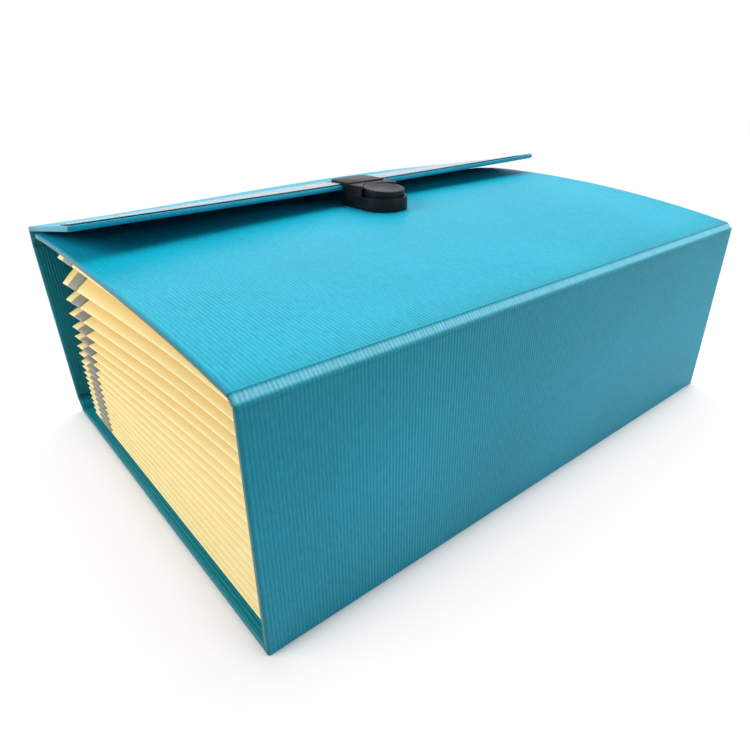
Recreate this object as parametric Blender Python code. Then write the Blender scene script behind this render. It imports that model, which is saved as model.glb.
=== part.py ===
"""Expanding document file lying on its back cover, closed and latched.

One sheet of ribbed board is creased into two covers, two spines and a closing flap. Inside it,
card dividers hang between two pleated side gussets and a pleated bottom strip. A plastic
push-button clasp on the flap snaps over a stud on the front cover. X runs along the file,
Y from the bottom spine to the mouth of the pockets, Z up from the table.
"""
import math

import bmesh
import bpy
from mathutils import Vector

MM = 0.001

# Board case, outer faces
CASE_LENGTH = 330 * MM
BOARD = 2.8 * MM
BACK_COVER_DEPTH = 228 * MM
FRONT_CREASE_WIDTH = 4.95 * MM
DOUBLE_CREASE_WIDTH = 10.4 * MM
TOP_SPINE_HEIGHT = 97.2 * MM
BOTTOM_SPINE_EXTRA = 7.3 * MM
FRONT_COVER_OVERHANG = 3 * MM
FLAP_REACH = 94 * MM

# Directions of the case's strips in degrees from +Y, as they stand when the file is closed
FRONT_CREASE_ANGLE = 45
MOUTH_CREASE_ANGLE = 45
TOP_SPINE_ANGLE = 83.2
FLAP_CREASE_ANGLE = 104
FLAP_ANGLE = 170
COVER_SPRING_ANGLE = 12

# The full file bulges: heights by which the front cover and the flap rise over their creases
COVER_LEFT_CROWN = 5.85 * MM
COVER_RIGHT_CROWN = 13.9 * MM
CROWN_SPREAD_POWER = 0.8
CROWN_PEAK_SHARE = 0.72
CROWN_LEFT_POWER = 3
CROWN_RIGHT_POWER = 2.2
CROWN_LEFT_DROP_SHARE = 0.28
CROWN_RIGHT_DROP_SHARE = 0.64
CROWN_END_POWER = 2.4
FLAP_LEFT_RISE = 16.3 * MM
FLAP_RIGHT_RISE = 20.8 * MM
FLAP_LATCH_DIP = 1.2 * MM
FLAP_LEFT_BOW = 2.4 * MM
FLAP_RIGHT_BOW = 7 * MM

# Running gap between pieces that touch
SEAM = 0.3 * MM

# Card pockets
POCKETS = 19
SHEET = 0.35 * MM
GUSSET_INSET = 14.5 * MM
GUSSET_LEAF = 10.5 * MM
FOLD_FLAT = 0.8 * MM
BOTTOM_PLEAT = 4.6 * MM
MOUTH_SETBACK = 10 * MM
TIGHT_SHARE = 0.57
GAPE_POWER = 5.4
CROWN_POWER = 4
TAB_LENGTH = 8 * MM
TAB_GAP = 2.4 * MM
TAB_CORNER = 2 * MM
TAPE = 0.2 * MM
TAPE_WIDTH = 15 * MM
TAPE_FROM_MOUTH = 12.5 * MM
TAPE_DEPTH_SHARE = 0.85

# Index strip on the flap
CARD = 0.25 * MM
FILM = 0.15 * MM
INDEX_END_MARGIN = 1 * MM
INDEX_EDGE_MARGIN = 1 * MM
INDEX_WIDTH = 16 * MM

# Push-button clasp
CLASP_OVERHANG = 21.05 * MM
RING_RADIUS = 13.7 * MM
RING_WALL = 1.3 * MM
CLASP_LENGTH = 49.4 * MM
CLASP_CORNER = 5 * MM
CLASP_EDGE = 0.5 * MM
CLASP_DRAFT = 0.08 * MM
PLATE = 1.7 * MM
PLATE_STEP = 0.7 * MM
STEP_FROM_FLAP = 5 * MM
NECK_SETBACK = 4 * MM
HOUSING_WALL_HEIGHT = 7.1 * MM
WELL_DEPTH = 2.4 * MM
WEB = 1.2 * MM
SOCKET_RADIUS = 10.4 * MM
BUTTON_RADIUS = 12 * MM
BUTTON_CAP = 2.5 * MM
BUTTON_SLOPE = 1.9 * MM
BUTTON_STAND = 0.8 * MM
BUTTON_STEM_INSET = 0.7 * MM
BUTTON_STEM_WALL = 1.4 * MM
BUTTON_TRAVEL = 1.5 * MM
BUTTON_RECESS = 1.2 * MM
BUTTON_RECESS_RADIUS = 6 * MM
SPRING_RADIUS = 4 * MM
SPRING_WIRE = 0.5 * MM
SPRING_TURNS = 3
STUD_RADIUS = 2 * MM
STUD_HEIGHT = 3.5 * MM
STUD_BASE_RADIUS = 7 * MM
STUD_BASE = 0.6 * MM
STUD_SHANK_RADIUS = 1.5 * MM
CLIP_THICKNESS = 0.6 * MM
CLIP_ARM = 2.2 * MM
CLIP_LENGTH = 13 * MM
UNDER_PLATE = 1.2 * MM
UNDER_PLATE_MARGIN = 1 * MM
RIVET_RADIUS = 1.5 * MM
RIVET_HEAD_RADIUS = 2.6 * MM
RIVET_HEAD = 0.7 * MM
RIVET_SPACING = 15 * MM
RIVET_BITE = 0.7 * MM

# Amount by which cutters run past what they cut
OVERRUN = 5 * MM

# The bottom spine is a little taller than the top spine, which leans out and ends in two strips
BOTTOM_SPINE_HEIGHT = TOP_SPINE_HEIGHT + BOTTOM_SPINE_EXTRA

# The front cover reaches past the back cover, and the pockets end short of both
FRONT_COVER_REACH = BACK_COVER_DEPTH + FRONT_COVER_OVERHANG
MOUTH = BACK_COVER_DEPTH - MOUTH_SETBACK

# Places of the creases along the outer faces, as (y, z) measured from the bottom spine


def walk(start, length, degrees):
    angle = math.radians(degrees)
    return (start[0] + length * math.cos(angle), start[1] + length * math.sin(angle))


BOTTOM_CORNER = (0, 0)
SPINE_CREASE = (0, BOTTOM_SPINE_HEIGHT)
COVER_CREASE = walk(SPINE_CREASE, FRONT_CREASE_WIDTH, FRONT_CREASE_ANGLE)
MOUTH_CREASE = (BACK_COVER_DEPTH, 0)
TOP_SPINE_CREASE = walk(MOUTH_CREASE, DOUBLE_CREASE_WIDTH, MOUTH_CREASE_ANGLE)
FLAP_STRIP_CREASE = walk(TOP_SPINE_CREASE, TOP_SPINE_HEIGHT, TOP_SPINE_ANGLE)
FLAP_CREASE = walk(FLAP_STRIP_CREASE, DOUBLE_CREASE_WIDTH, FLAP_CREASE_ANGLE)

# The frame's origin is under the middle of the file
HALF_LENGTH = CASE_LENGTH / 2
MIDDLE = FLAP_STRIP_CREASE[0] / 2
FLAP_EDGE = FLAP_CREASE[0] - FLAP_REACH
CLASP_REACH = FLAP_EDGE - CLASP_OVERHANG
PLEAT_DEPTH = BOARD + SEAM + SHEET / 2
HINGE_LINE = PLEAT_DEPTH + BOTTOM_PLEAT
INNER_HALF = HALF_LENGTH - GUSSET_INSET
DIVIDER_HALF = INNER_HALF - SHEET / 2 - SEAM


def remove_everything():
    for item in list(bpy.data.objects):
        bpy.data.objects.remove(item, do_unlink=True)


def blend(low, high, share):
    return low + (high - low) * share


def length_share(x):
    return min(max(x / CASE_LENGTH + 0.5, 0.0), 1.0)


def cover_rise(x, y):
    """Height of the bulging front cover over its crease, at x and at y from the bottom spine."""
    along_share = length_share(x)
    side_share = math.sin(math.pi / 2 * along_share) ** CROWN_SPREAD_POWER
    crown = blend(COVER_LEFT_CROWN, COVER_RIGHT_CROWN, side_share)
    depth_share = (y - COVER_CREASE[0]) / (FRONT_COVER_REACH - COVER_CREASE[0])
    depth_share = min(max(depth_share, 0.0), 1.0)
    if depth_share < CROWN_PEAK_SHARE:
        power = blend(CROWN_LEFT_POWER, CROWN_RIGHT_POWER, along_share)
        return crown * (1 - (1 - depth_share / CROWN_PEAK_SHARE) ** power)
    past_share = (depth_share - CROWN_PEAK_SHARE) / (1 - CROWN_PEAK_SHARE)
    drop_share = blend(CROWN_LEFT_DROP_SHARE, CROWN_RIGHT_DROP_SHARE, side_share)
    return crown * (1 - drop_share * past_share ** CROWN_END_POWER)


def cover_top(x, y):
    return COVER_CREASE[1] + cover_rise(x, y)


def flap_top(x, y):
    """Outer face of the closing flap, which is bowed and pulled down a little by the clasp."""
    along_share = length_share(x)
    reach_share = (FLAP_CREASE[0] - y) / FLAP_REACH
    middle_share = math.sin(math.pi * along_share)
    rise = blend(FLAP_LEFT_RISE, FLAP_RIGHT_RISE, along_share) - FLAP_LATCH_DIP * middle_share
    bow = blend(FLAP_LEFT_BOW, FLAP_RIGHT_BOW, along_share) * middle_share
    return FLAP_CREASE[1] + rise * reach_share + bow * 4 * reach_share * (1 - reach_share)


def stack_height(level_share, x, y):
    """Height of the sheet at a level of the stack, 0 on the back cover and 1 under the front.

    At the bottom of the pockets the sheets are evenly spaced. At the mouth the lower ones are
    squeezed and the upper ones gape, and the upper ones share the front cover's bulge.
    """
    floor = BOARD + SEAM + SHEET / 2
    ceiling = cover_top(-HALF_LENGTH, y) - BOARD - SEAM - SHEET / 2
    mouth_share = min(max((y - HINGE_LINE) / (MOUTH - HINGE_LINE), 0.0), 1.0)
    gape_share = TIGHT_SHARE * level_share + (1 - TIGHT_SHARE) * level_share ** GAPE_POWER
    bulge = cover_top(x, y) - cover_top(-HALF_LENGTH, y)
    height = blend(floor, ceiling, blend(level_share, gape_share, mouth_share))
    return height + bulge * level_share ** CROWN_POWER


def make_material(name, colour, roughness, metallic=0.0):
    material = bpy.data.materials.new(name)
    material.use_nodes = True
    shader = material.node_tree.nodes["Principled BSDF"]
    shader.inputs["Base Color"].default_value = (*colour, 1.0)
    shader.inputs["Roughness"].default_value = roughness
    shader.inputs["Metallic"].default_value = metallic
    return material


def add_object(name, bm, material, pivot=(0, 0, 0)):
    """Put a mesh into the scene with its origin on pivot, given from the bottom spine."""
    bmesh.ops.recalc_face_normals(bm, faces=bm.faces[:])
    bmesh.ops.translate(bm, verts=bm.verts[:], vec=-Vector(pivot))
    mesh = bpy.data.meshes.new(name)
    bm.to_mesh(mesh)
    bm.free()
    mesh.materials.append(material)
    thing = bpy.data.objects.new(name, mesh)
    thing.location = Vector(pivot) - Vector((0, MIDDLE, 0))
    bpy.context.collection.objects.link(thing)
    return thing


def add_solidify(thing, thickness):
    shell = thing.modifiers.new("thickness", "SOLIDIFY")
    shell.thickness = thickness
    shell.offset = 0
    shell.use_even_offset = True


def add_bevel(thing, width, segments=2):
    edge = thing.modifiers.new("edge", "BEVEL")
    edge.width = width
    edge.segments = segments
    edge.limit_method = "ANGLE"


def add_boolean(thing, cutter, operation):
    cut = thing.modifiers.new(operation.lower(), "BOOLEAN")
    cut.operation = operation
    cut.solver = "EXACT"
    cut.object = cutter
    cutter.hide_render = True
    cutter.display_type = "WIRE"


def shade_round(thing):
    thing.data.shade_smooth()
    thing.data.set_sharp_from_angle(angle=math.radians(30))


def prism(section, low_x, high_x):
    """A section in the Y-Z plane, drawn out along X."""
    bm = bmesh.new()
    face = bm.faces.new([bm.verts.new((low_x, y, z)) for y, z in section])
    drawn = bmesh.ops.extrude_face_region(bm, geom=[face])["geom"]
    moved = [item for item in drawn if isinstance(item, bmesh.types.BMVert)]
    bmesh.ops.translate(bm, verts=moved, vec=(high_x - low_x, 0, 0))
    return bm


def split_quads(bm):
    """Split every quad the same way, so that stacked surfaces keep their gap between points."""
    bmesh.ops.triangulate(bm, faces=bm.faces[:], quad_method="FIXED")


def sheet_grid(xs, ys, height):
    """An open sheet of quads over the places xs and ys, with its rows of vertices by x."""
    bm = bmesh.new()
    rows = [[bm.verts.new((x, y, height(x, y))) for y in ys] for x in xs]
    for row, following in zip(rows, rows[1:]):
        for near in range(len(ys) - 1):
            bm.faces.new((row[near], following[near], following[near + 1], row[near + 1]))
    split_quads(bm)
    return bm, rows


def slab(xs, ys, top, thickness, lower_ys=None):
    """A closed plate whose upper face follows top(x, y). Its lower face may start elsewhere."""
    bm, rows = sheet_grid(xs, ys, top)
    lower_ys = lower_ys or ys
    under = [[bm.verts.new((x, y, top(x, y) - thickness)) for y in lower_ys] for x in xs]
    last_x = len(xs) - 1
    last_y = len(ys) - 1
    for i in range(last_x):
        for j in range(last_y):
            bm.faces.new((under[i][j], under[i][j + 1], under[i + 1][j + 1], under[i + 1][j]))
        for j in (0, last_y):
            bm.faces.new((rows[i][j], rows[i + 1][j], under[i + 1][j], under[i][j]))
    for j in range(last_y):
        for i in (0, last_x):
            bm.faces.new((rows[i][j], rows[i][j + 1], under[i][j + 1], under[i][j]))
    split_quads(bm)
    return bm


def spread(low, high, parts):
    return [blend(low, high, part / parts) for part in range(parts + 1)]


def clip_spread(places, low, high):
    """The places that fall between low and high, with both of these as its ends."""
    return [low] + [place for place in sorted(places) if low < place < high] + [high]


def lathe(profile, centre, steps):
    """A closed (radius, z) profile turned about the upright through centre."""
    bm = bmesh.new()
    points = [bm.verts.new((centre[0] + radius, centre[1], z)) for radius, z in profile]
    edges = [bm.edges.new((a, b)) for a, b in zip(points, points[1:] + points[:1])]
    bmesh.ops.spin(
        bm,
        geom=points + edges,
        cent=(centre[0], centre[1], 0),
        axis=(0, 0, 1),
        angle=2 * math.pi,
        steps=steps,
        use_merge=True,
    )
    bmesh.ops.remove_doubles(bm, verts=bm.verts[:], dist=SEAM / 100)
    loose = [edge for edge in bm.edges if not edge.link_faces]
    bmesh.ops.delete(bm, geom=loose, context="EDGES")
    return bm


def outline_prism(outline, low_z, high_z):
    """A plan outline drawn up from low_z to high_z."""
    bm = bmesh.new()
    face = bm.faces.new([bm.verts.new((x, y, low_z)) for x, y in outline])
    drawn = bmesh.ops.extrude_face_region(bm, geom=[face])["geom"]
    moved = [item for item in drawn if isinstance(item, bmesh.types.BMVert)]
    bmesh.ops.translate(bm, verts=moved, vec=(0, 0, high_z - low_z))
    return bm


def box_outline(half_width, low_y, high_y, corner, steps=4):
    """A plan rectangle about x = 0 whose far corners are rounded."""
    outline = [(-half_width, low_y), (half_width, low_y)]
    for side, start in ((1, 0), (-1, math.pi / 2)):
        centre = (side * (half_width - corner), high_y - corner)
        for step in range(steps + 1):
            angle = start + math.pi / 2 * step / steps
            outline.append((centre[0] + corner * math.cos(angle), centre[1] + corner * math.sin(angle)))
    return outline


# Case panels


def panel(name, start, length, degrees, start_turn, end_turn, material, pivot):
    """A flat strip of the case with mitred long edges, its outer face starting at start."""
    section = []
    for along, inward in (
        (SEAM / 2, 0),
        (length - SEAM / 2, 0),
        (length - SEAM / 2 - BOARD * math.tan(math.radians(end_turn / 2)), BOARD),
        (SEAM / 2 + BOARD * math.tan(math.radians(start_turn / 2)), BOARD),
    ):
        foot = walk(start, along, degrees)
        section.append(walk(foot, inward, degrees + 90))
    origin = (0, *pivot)
    return add_object(name, prism(section, -HALF_LENGTH, HALF_LENGTH), material, origin)


def build_case(board):
    corner_turn = 90
    back = panel(
        "back_cover", BOTTOM_CORNER, BACK_COVER_DEPTH, 0, corner_turn, MOUTH_CREASE_ANGLE, board,
        BOTTOM_CORNER,
    )
    spine = panel(
        "bottom_spine", SPINE_CREASE, BOTTOM_SPINE_HEIGHT, -corner_turn, FRONT_CREASE_ANGLE,
        corner_turn, board, SPINE_CREASE,
    )
    panel(
        "front_crease", COVER_CREASE, FRONT_CREASE_WIDTH, FRONT_CREASE_ANGLE - 180,
        FRONT_CREASE_ANGLE, FRONT_CREASE_ANGLE, board, SPINE_CREASE,
    )
    panel(
        "mouth_crease", MOUTH_CREASE, DOUBLE_CREASE_WIDTH, MOUTH_CREASE_ANGLE,
        MOUTH_CREASE_ANGLE, TOP_SPINE_ANGLE - MOUTH_CREASE_ANGLE, board, MOUTH_CREASE,
    )
    panel(
        "top_spine", TOP_SPINE_CREASE, TOP_SPINE_HEIGHT, TOP_SPINE_ANGLE,
        TOP_SPINE_ANGLE - MOUTH_CREASE_ANGLE, FLAP_CREASE_ANGLE - TOP_SPINE_ANGLE, board,
        TOP_SPINE_CREASE,
    )
    panel(
        "flap_crease", FLAP_STRIP_CREASE, DOUBLE_CREASE_WIDTH, FLAP_CREASE_ANGLE,
        FLAP_CREASE_ANGLE - TOP_SPINE_ANGLE, FLAP_ANGLE - FLAP_CREASE_ANGLE, board,
        FLAP_STRIP_CREASE,
    )
    return back, spine


def mitre_run(first_degrees, second_degrees):
    """Sideways run, for each unit down, of the plane that halves the angle between two strips."""
    return abs(1 / math.tan(math.radians((first_degrees + second_degrees) / 2)))


def build_front_cover(board):
    """The bulging front cover, with a hole for the strike stud's shank."""
    run = BOARD * mitre_run(COVER_SPRING_ANGLE, FRONT_CREASE_ANGLE - 180)
    near = COVER_CREASE[0] + SEAM / 2
    ys = spread(near, MOUTH, 10) + [FRONT_COVER_REACH]
    xs = spread(-HALF_LENGTH, HALF_LENGTH, 8)
    bm = slab(xs, ys, cover_top, BOARD, [near + run] + ys[1:])
    cover = add_object("front_cover", bm, board, (0, *COVER_CREASE))
    hole = lathe(
        [
            (0, cover_top(0, CLASP_REACH) - BOARD - OVERRUN),
            (STUD_SHANK_RADIUS + SEAM, cover_top(0, CLASP_REACH) - BOARD - OVERRUN),
            (STUD_SHANK_RADIUS + SEAM, cover_top(0, CLASP_REACH) + OVERRUN),
            (0, cover_top(0, CLASP_REACH) + OVERRUN),
        ],
        (0, CLASP_REACH),
        12,
    )
    add_boolean(cover, add_object("stud_hole_cutter", hole, board), "DIFFERENCE")
    return cover


def rivet_places():
    middle = (FLAP_EDGE + clasp_rear()) / 2
    return [(side * RIVET_SPACING / 2, middle) for side in (-1, 1)]


def flap_places():
    """Where the flap's faces meet, along X and from its crease to its free edge."""
    xs = spread(-HALF_LENGTH, HALF_LENGTH, 10)
    return xs, spread(FLAP_CREASE[0] - SEAM / 2, FLAP_EDGE, 6)


def build_flap(board):
    """The bowed closing flap, with two holes for the clasp's rivets."""
    run = BOARD * mitre_run(FLAP_CREASE_ANGLE + 180, FLAP_ANGLE)
    xs, ys = flap_places()
    bm = slab(xs, ys, flap_top, BOARD, [ys[0] - run] + ys[1:])
    flap = add_object("closing_flap", bm, board, (0, *FLAP_CREASE))
    for index, (x, y) in enumerate(rivet_places()):
        low = flap_top(x, y) - BOARD - OVERRUN
        high = flap_top(x, y) + OVERRUN
        radius = RIVET_RADIUS + SEAM
        hole = lathe([(0, low), (radius, low), (radius, high), (0, high)], (x, y), 12)
        add_boolean(flap, add_object(f"rivet_hole_cutter_{index}", hole, board), "DIFFERENCE")
    return flap


# Card pockets


def build_sheet(name, level_share, card, pivot, tab_place=None, tab_width=None):
    """A card sheet at one level of the stack, with an index tab on its mouth edge if asked."""
    near = HINGE_LINE + SHEET / 2 + SEAM
    xs = spread(-DIVIDER_HALF, DIVIDER_HALF, 6)
    tab = []
    if tab_place is not None:
        tab = [tab_place - tab_width / 2, tab_place + tab_width / 2]
        xs = sorted([x for x in xs if not tab[0] - TAB_CORNER < x < tab[1] + TAB_CORNER] + tab)
    ys = spread(near, MOUTH, 5)
    bm, rows = sheet_grid(xs, ys, lambda x, y: stack_height(level_share, x, y))
    if tab:
        first = rows[xs.index(tab[0])][-1]
        second = rows[xs.index(tab[1])][-1]
        tip = MOUTH + TAB_LENGTH
        shoulder = tip - TAB_CORNER
        outline = [
            (tab[1], shoulder),
            (tab[1] - TAB_CORNER, tip),
            (tab[0] + TAB_CORNER, tip),
            (tab[0], shoulder),
        ]
        corners = [bm.verts.new((x, y, stack_height(level_share, x, MOUTH))) for x, y in outline]
        bm.faces.new([first, second] + corners)
    sheet = add_object(name, bm, card, pivot)
    add_solidify(sheet, SHEET)
    return sheet


def build_dividers(card):
    count = POCKETS - 1
    pitch = (2 * DIVIDER_HALF - TAB_GAP) / count
    for number in range(1, POCKETS):
        level_share = number / POCKETS
        place = -DIVIDER_HALF + TAB_GAP + pitch * (number - 0.5)
        pivot = (0, HINGE_LINE, stack_height(level_share, 0, HINGE_LINE))
        build_sheet(
            f"divider_{number:02d}", level_share, card, pivot, place, pitch - TAB_GAP
        )


def fold_levels():
    """Levels of the folds from the back cover up, each with True where it is an outer fold."""
    return [(step / (2 * POCKETS), step % 2 == 1) for step in range(2 * POCKETS + 1)]


def leaf_run(low, high, part_share):
    """Sideways run of a gusset leaf that climbs this share of the way from low to high."""
    climb = (high - low) * part_share
    return math.sqrt(max(GUSSET_LEAF ** 2 - climb ** 2, 0.0))


def gusset_section(side, y):
    """The zigzag of a side gusset at y as (x, z), with a small flat at each fold."""
    inner = side * INNER_HALF
    edge = side * HALF_LENGTH
    points = []
    for level_share, is_outer in fold_levels():
        height = stack_height(level_share, edge, y)
        if not is_outer:
            place = inner
        else:
            half_step_share = 0.5 / POCKETS
            below = stack_height(level_share - half_step_share, edge, y)
            above = stack_height(level_share + half_step_share, edge, y)
            place = inner + side * leaf_run(below, above, 1 / 2)
            height = (below + above) / 2
        if 0 < level_share < 1:
            points.append((place, height - FOLD_FLAT / 2))
            points.append((place, height + FOLD_FLAT / 2))
        else:
            points.append((place, height))
    return points


def near_end(height):
    """Where a leaf at this height starts, clear of the bottom spine and of the creased strip."""
    slant = math.sqrt(2) * (BOARD + SEAM + SHEET)
    return max(BOARD + SEAM, height - BOTTOM_SPINE_HEIGHT + slant)


def tape_ends():
    return [MOUTH - TAPE_FROM_MOUTH - TAPE_WIDTH, MOUTH - TAPE_FROM_MOUTH]


def build_side_gusset(name, side, paper):
    """A pleated side: leaves that run from the bottom spine to the mouth, folded in and out."""
    starts = [near_end(height) for place, height in gusset_section(side, PLEAT_DEPTH)]
    tape_low, tape_high = tape_ends()
    rows = []
    bm = bmesh.new()
    for station_share in spread(0, 1, 4):
        row_ys = [blend(start, tape_low, station_share) for start in starts]
        rows.append(gusset_row(bm, side, row_ys))
    for y in (tape_high, MOUTH):
        rows.append(gusset_row(bm, side, [y] * len(starts)))
    join_rows(bm, rows)
    gusset = add_object(name, bm, paper)
    add_solidify(gusset, SHEET)
    return gusset


def gusset_row(bm, side, row_ys):
    row = []
    for index, y in enumerate(row_ys):
        x, z = gusset_section(side, y)[index]
        row.append(bm.verts.new((x, y, z)))
    return row


def join_rows(bm, rows):
    for row, following in zip(rows, rows[1:]):
        for index in range(len(row) - 1):
            bm.faces.new((row[index], row[index + 1], following[index + 1], following[index]))
    split_quads(bm)


def build_bottom_gusset(paper):
    """The pleated strip that closes the pockets along the bottom spine."""
    xs = spread(-DIVIDER_HALF, DIVIDER_HALF, 3)
    bm = bmesh.new()
    rows = []
    for x in xs:
        row = []
        for level_share, is_outer in fold_levels():
            place = PLEAT_DEPTH if is_outer else HINGE_LINE
            height = stack_height(level_share, x, HINGE_LINE)
            flats = (-FOLD_FLAT / 2, FOLD_FLAT / 2) if 0 < level_share < 1 else (0,)
            row.extend(bm.verts.new((x, place, height + flat)) for flat in flats)
        rows.append(row)
    join_rows(bm, rows)
    gusset = add_object("bottom_gusset", bm, paper)
    add_solidify(gusset, SHEET)
    return gusset


def build_tape(name, side, tape):
    """Reinforcing tape near the mouth, one strip folded in and out with a gusset's leaves."""
    bm = bmesh.new()
    stand_off = SHEET / 2 + SEAM + TAPE / 2
    rows = []
    for y in tape_ends():
        section = gusset_section(side, y)
        row = []
        for fold in range(POCKETS):
            first = 4 * fold + 1
            inner_low, tip_low, tip_high, inner_high = section[first - 1:first + 3]
            tip_x = tip_low[0] + side * stand_off
            for tip, inner, way in ((tip_low, inner_low, -1), (tip_high, inner_high, 1)):
                climb = abs(inner[1] - tip[1])
                spare = 2 * climb + FOLD_FLAT - 2 * stand_off - TAPE - SEAM
                depth_share = min(max(spare / (2 * climb), 0), TAPE_DEPTH_SHARE)
                back = (
                    blend(tip_x, inner[0], depth_share),
                    tip[1] + way * (stand_off + climb * depth_share),
                )
                pair = [(tip_x, tip[1] + way * stand_off), back]
                row.extend(pair if way > 0 else pair[::-1])
        rows.append([bm.verts.new((x, y, z)) for x, z in row])
    join_rows(bm, rows)
    strip = add_object(name, bm, tape)
    add_solidify(strip, TAPE)
    return strip


# Index strip


def clasp_rear():
    return CLASP_REACH - RING_RADIUS + CLASP_LENGTH


def build_index(name, lift, thickness, material):
    """A thin strip along the flap's free edge, notched round the clasp's plate."""
    flap_xs, flap_ys = flap_places()
    near = FLAP_EDGE + INDEX_EDGE_MARGIN
    half = HALF_LENGTH - INDEX_END_MARGIN
    xs = clip_spread(flap_xs, -half, half)
    ys = clip_spread(flap_ys, near, near + INDEX_WIDTH)[::-1]
    bm = slab(xs, ys, lambda x, y: flap_top(x, y) + lift + thickness, thickness)
    strip = add_object(name, bm, material, (0, *FLAP_CREASE))
    notch = outline_prism(
        box_outline(RING_RADIUS + SEAM, FLAP_EDGE - OVERRUN, clasp_rear() + SEAM, CLASP_CORNER),
        FLAP_CREASE[1],
        plate_top() + OVERRUN,
    )
    add_boolean(strip, add_object(f"{name}_notch_cutter", notch, material), "DIFFERENCE")
    return strip


# Clasp


def plate_top():
    """The plate's flat top, just over the highest place of the flap under it."""
    return flap_top(0, FLAP_EDGE) + PLATE


def clasp_heights():
    """Heights of the clasp over the front cover at the ring's centre."""
    cover = cover_top(0, CLASP_REACH)
    rim = cover + HOUSING_WALL_HEIGHT
    web_top = rim - WELL_DEPTH
    return {"cover": cover, "rim": rim, "web_top": web_top, "web_bottom": web_top - WEB}


def envelope(name, surface, half, low_y, high_y, thickness, material):
    """A cutter whose upper face lies one seam over a curved panel."""
    xs = spread(-half, half, 4)
    ys = spread(low_y, high_y, 6)
    bm = slab(xs, ys, lambda x, y: surface(x, y) + SEAM, thickness)
    return add_object(name, bm, material)


def build_clasp_housing(plastic):
    """Ring, neck and plate in one moulding, shaped to sit on the cover and over the flap's edge."""
    heights = clasp_heights()
    centre = (0, CLASP_REACH)
    low = heights["cover"] - OVERRUN
    outline = [
        (RING_RADIUS * math.cos(angle), CLASP_REACH + RING_RADIUS * math.sin(angle))
        for angle in spread(math.pi, 2 * math.pi, 20)
    ]
    outline += box_outline(RING_RADIUS, CLASP_REACH, clasp_rear(), CLASP_CORNER)[2:]
    housing = add_object(
        "clasp_housing", outline_prism(outline, low, heights["rim"]), plastic, (0, *FLAP_CREASE)
    )
    front_top = plate_top() - PLATE_STEP
    for index, (near_y, bottom, high) in enumerate((
        (CLASP_REACH + NECK_SETBACK, low + OVERRUN, front_top),
        (FLAP_EDGE - STEP_FROM_FLAP, front_top - PLATE_STEP, plate_top()),
    )):
        inset = CLASP_DRAFT * (index + 1)
        outline = box_outline(RING_RADIUS - inset, near_y, clasp_rear() - inset, CLASP_CORNER)
        block = outline_prism(outline, bottom, high)
        add_boolean(housing, add_object(f"clasp_block_cutter_{index}", block, plastic), "UNION")
    half = RING_RADIUS + OVERRUN
    near = CLASP_REACH - RING_RADIUS - OVERRUN
    cover_cut = envelope(
        "clasp_cover_cutter", cover_top, half, near, clasp_rear() + OVERRUN, 2 * OVERRUN, plastic
    )
    add_boolean(housing, cover_cut, "DIFFERENCE")
    flap_cut = envelope(
        "clasp_flap_cutter", flap_top, half, FLAP_EDGE - SEAM, clasp_rear() + OVERRUN,
        4 * OVERRUN, plastic,
    )
    add_boolean(housing, flap_cut, "DIFFERENCE")
    top = plate_top() + OVERRUN
    inner = RING_RADIUS - RING_WALL
    well = [(0, heights["web_top"]), (inner, heights["web_top"]), (inner, top), (0, top)]
    add_boolean(housing, add_object("clasp_well_cutter", lathe(well, centre, 40), plastic), "DIFFERENCE")
    bottom = heights["web_bottom"]
    socket = [(0, low - OVERRUN), (SOCKET_RADIUS, low - OVERRUN), (SOCKET_RADIUS, bottom), (0, bottom)]
    add_boolean(
        housing, add_object("clasp_socket_cutter", lathe(socket, centre, 32), plastic), "DIFFERENCE"
    )
    for index, (x, y) in enumerate(rivet_places()):
        base = flap_top(x, y) - OVERRUN
        tip = flap_top(x, y) + SEAM + RIVET_BITE + SEAM
        radius = RIVET_RADIUS + SEAM
        hole = lathe([(0, base), (radius, base), (radius, tip), (0, tip)], (x, y), 12)
        add_boolean(housing, add_object(f"clasp_rivet_cutter_{index}", hole, plastic), "DIFFERENCE")
    shade_round(housing)
    return housing


def build_button(plastic):
    """Round button with a hollow stem that slides in the ring's well, and a cap over the ring.

    The cap's top slopes up towards the neck.
    """
    heights = clasp_heights()
    cap_bottom = heights["rim"] + BUTTON_STAND
    cap_top = cap_bottom + BUTTON_CAP
    stem_low = heights["web_top"] + BUTTON_TRAVEL + SEAM
    stem_outer = BUTTON_RADIUS - BUTTON_STEM_INSET
    stem_inner = stem_outer - BUTTON_STEM_WALL
    edge = CLASP_EDGE
    profile = [
        (0, cap_bottom + BUTTON_RECESS),
        (BUTTON_RECESS_RADIUS, cap_bottom + BUTTON_RECESS),
        (BUTTON_RECESS_RADIUS, cap_bottom),
        (stem_inner, cap_bottom),
        (stem_inner, stem_low),
        (stem_outer, stem_low),
        (stem_outer, cap_bottom),
        (BUTTON_RADIUS, cap_bottom),
        (BUTTON_RADIUS, cap_top - edge),
        (BUTTON_RADIUS - edge, cap_top),
        (0, cap_top),
    ]
    button = add_object(
        "clasp_button", lathe(profile, (0, CLASP_REACH), 36), plastic, (0, CLASP_REACH, cap_bottom)
    )
    for point in button.data.vertices:
        if point.co.z > BUTTON_CAP / 2:
            point.co.z += BUTTON_SLOPE * (point.co.y / BUTTON_RADIUS + 1) / 2
    shade_round(button)
    return button


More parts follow.
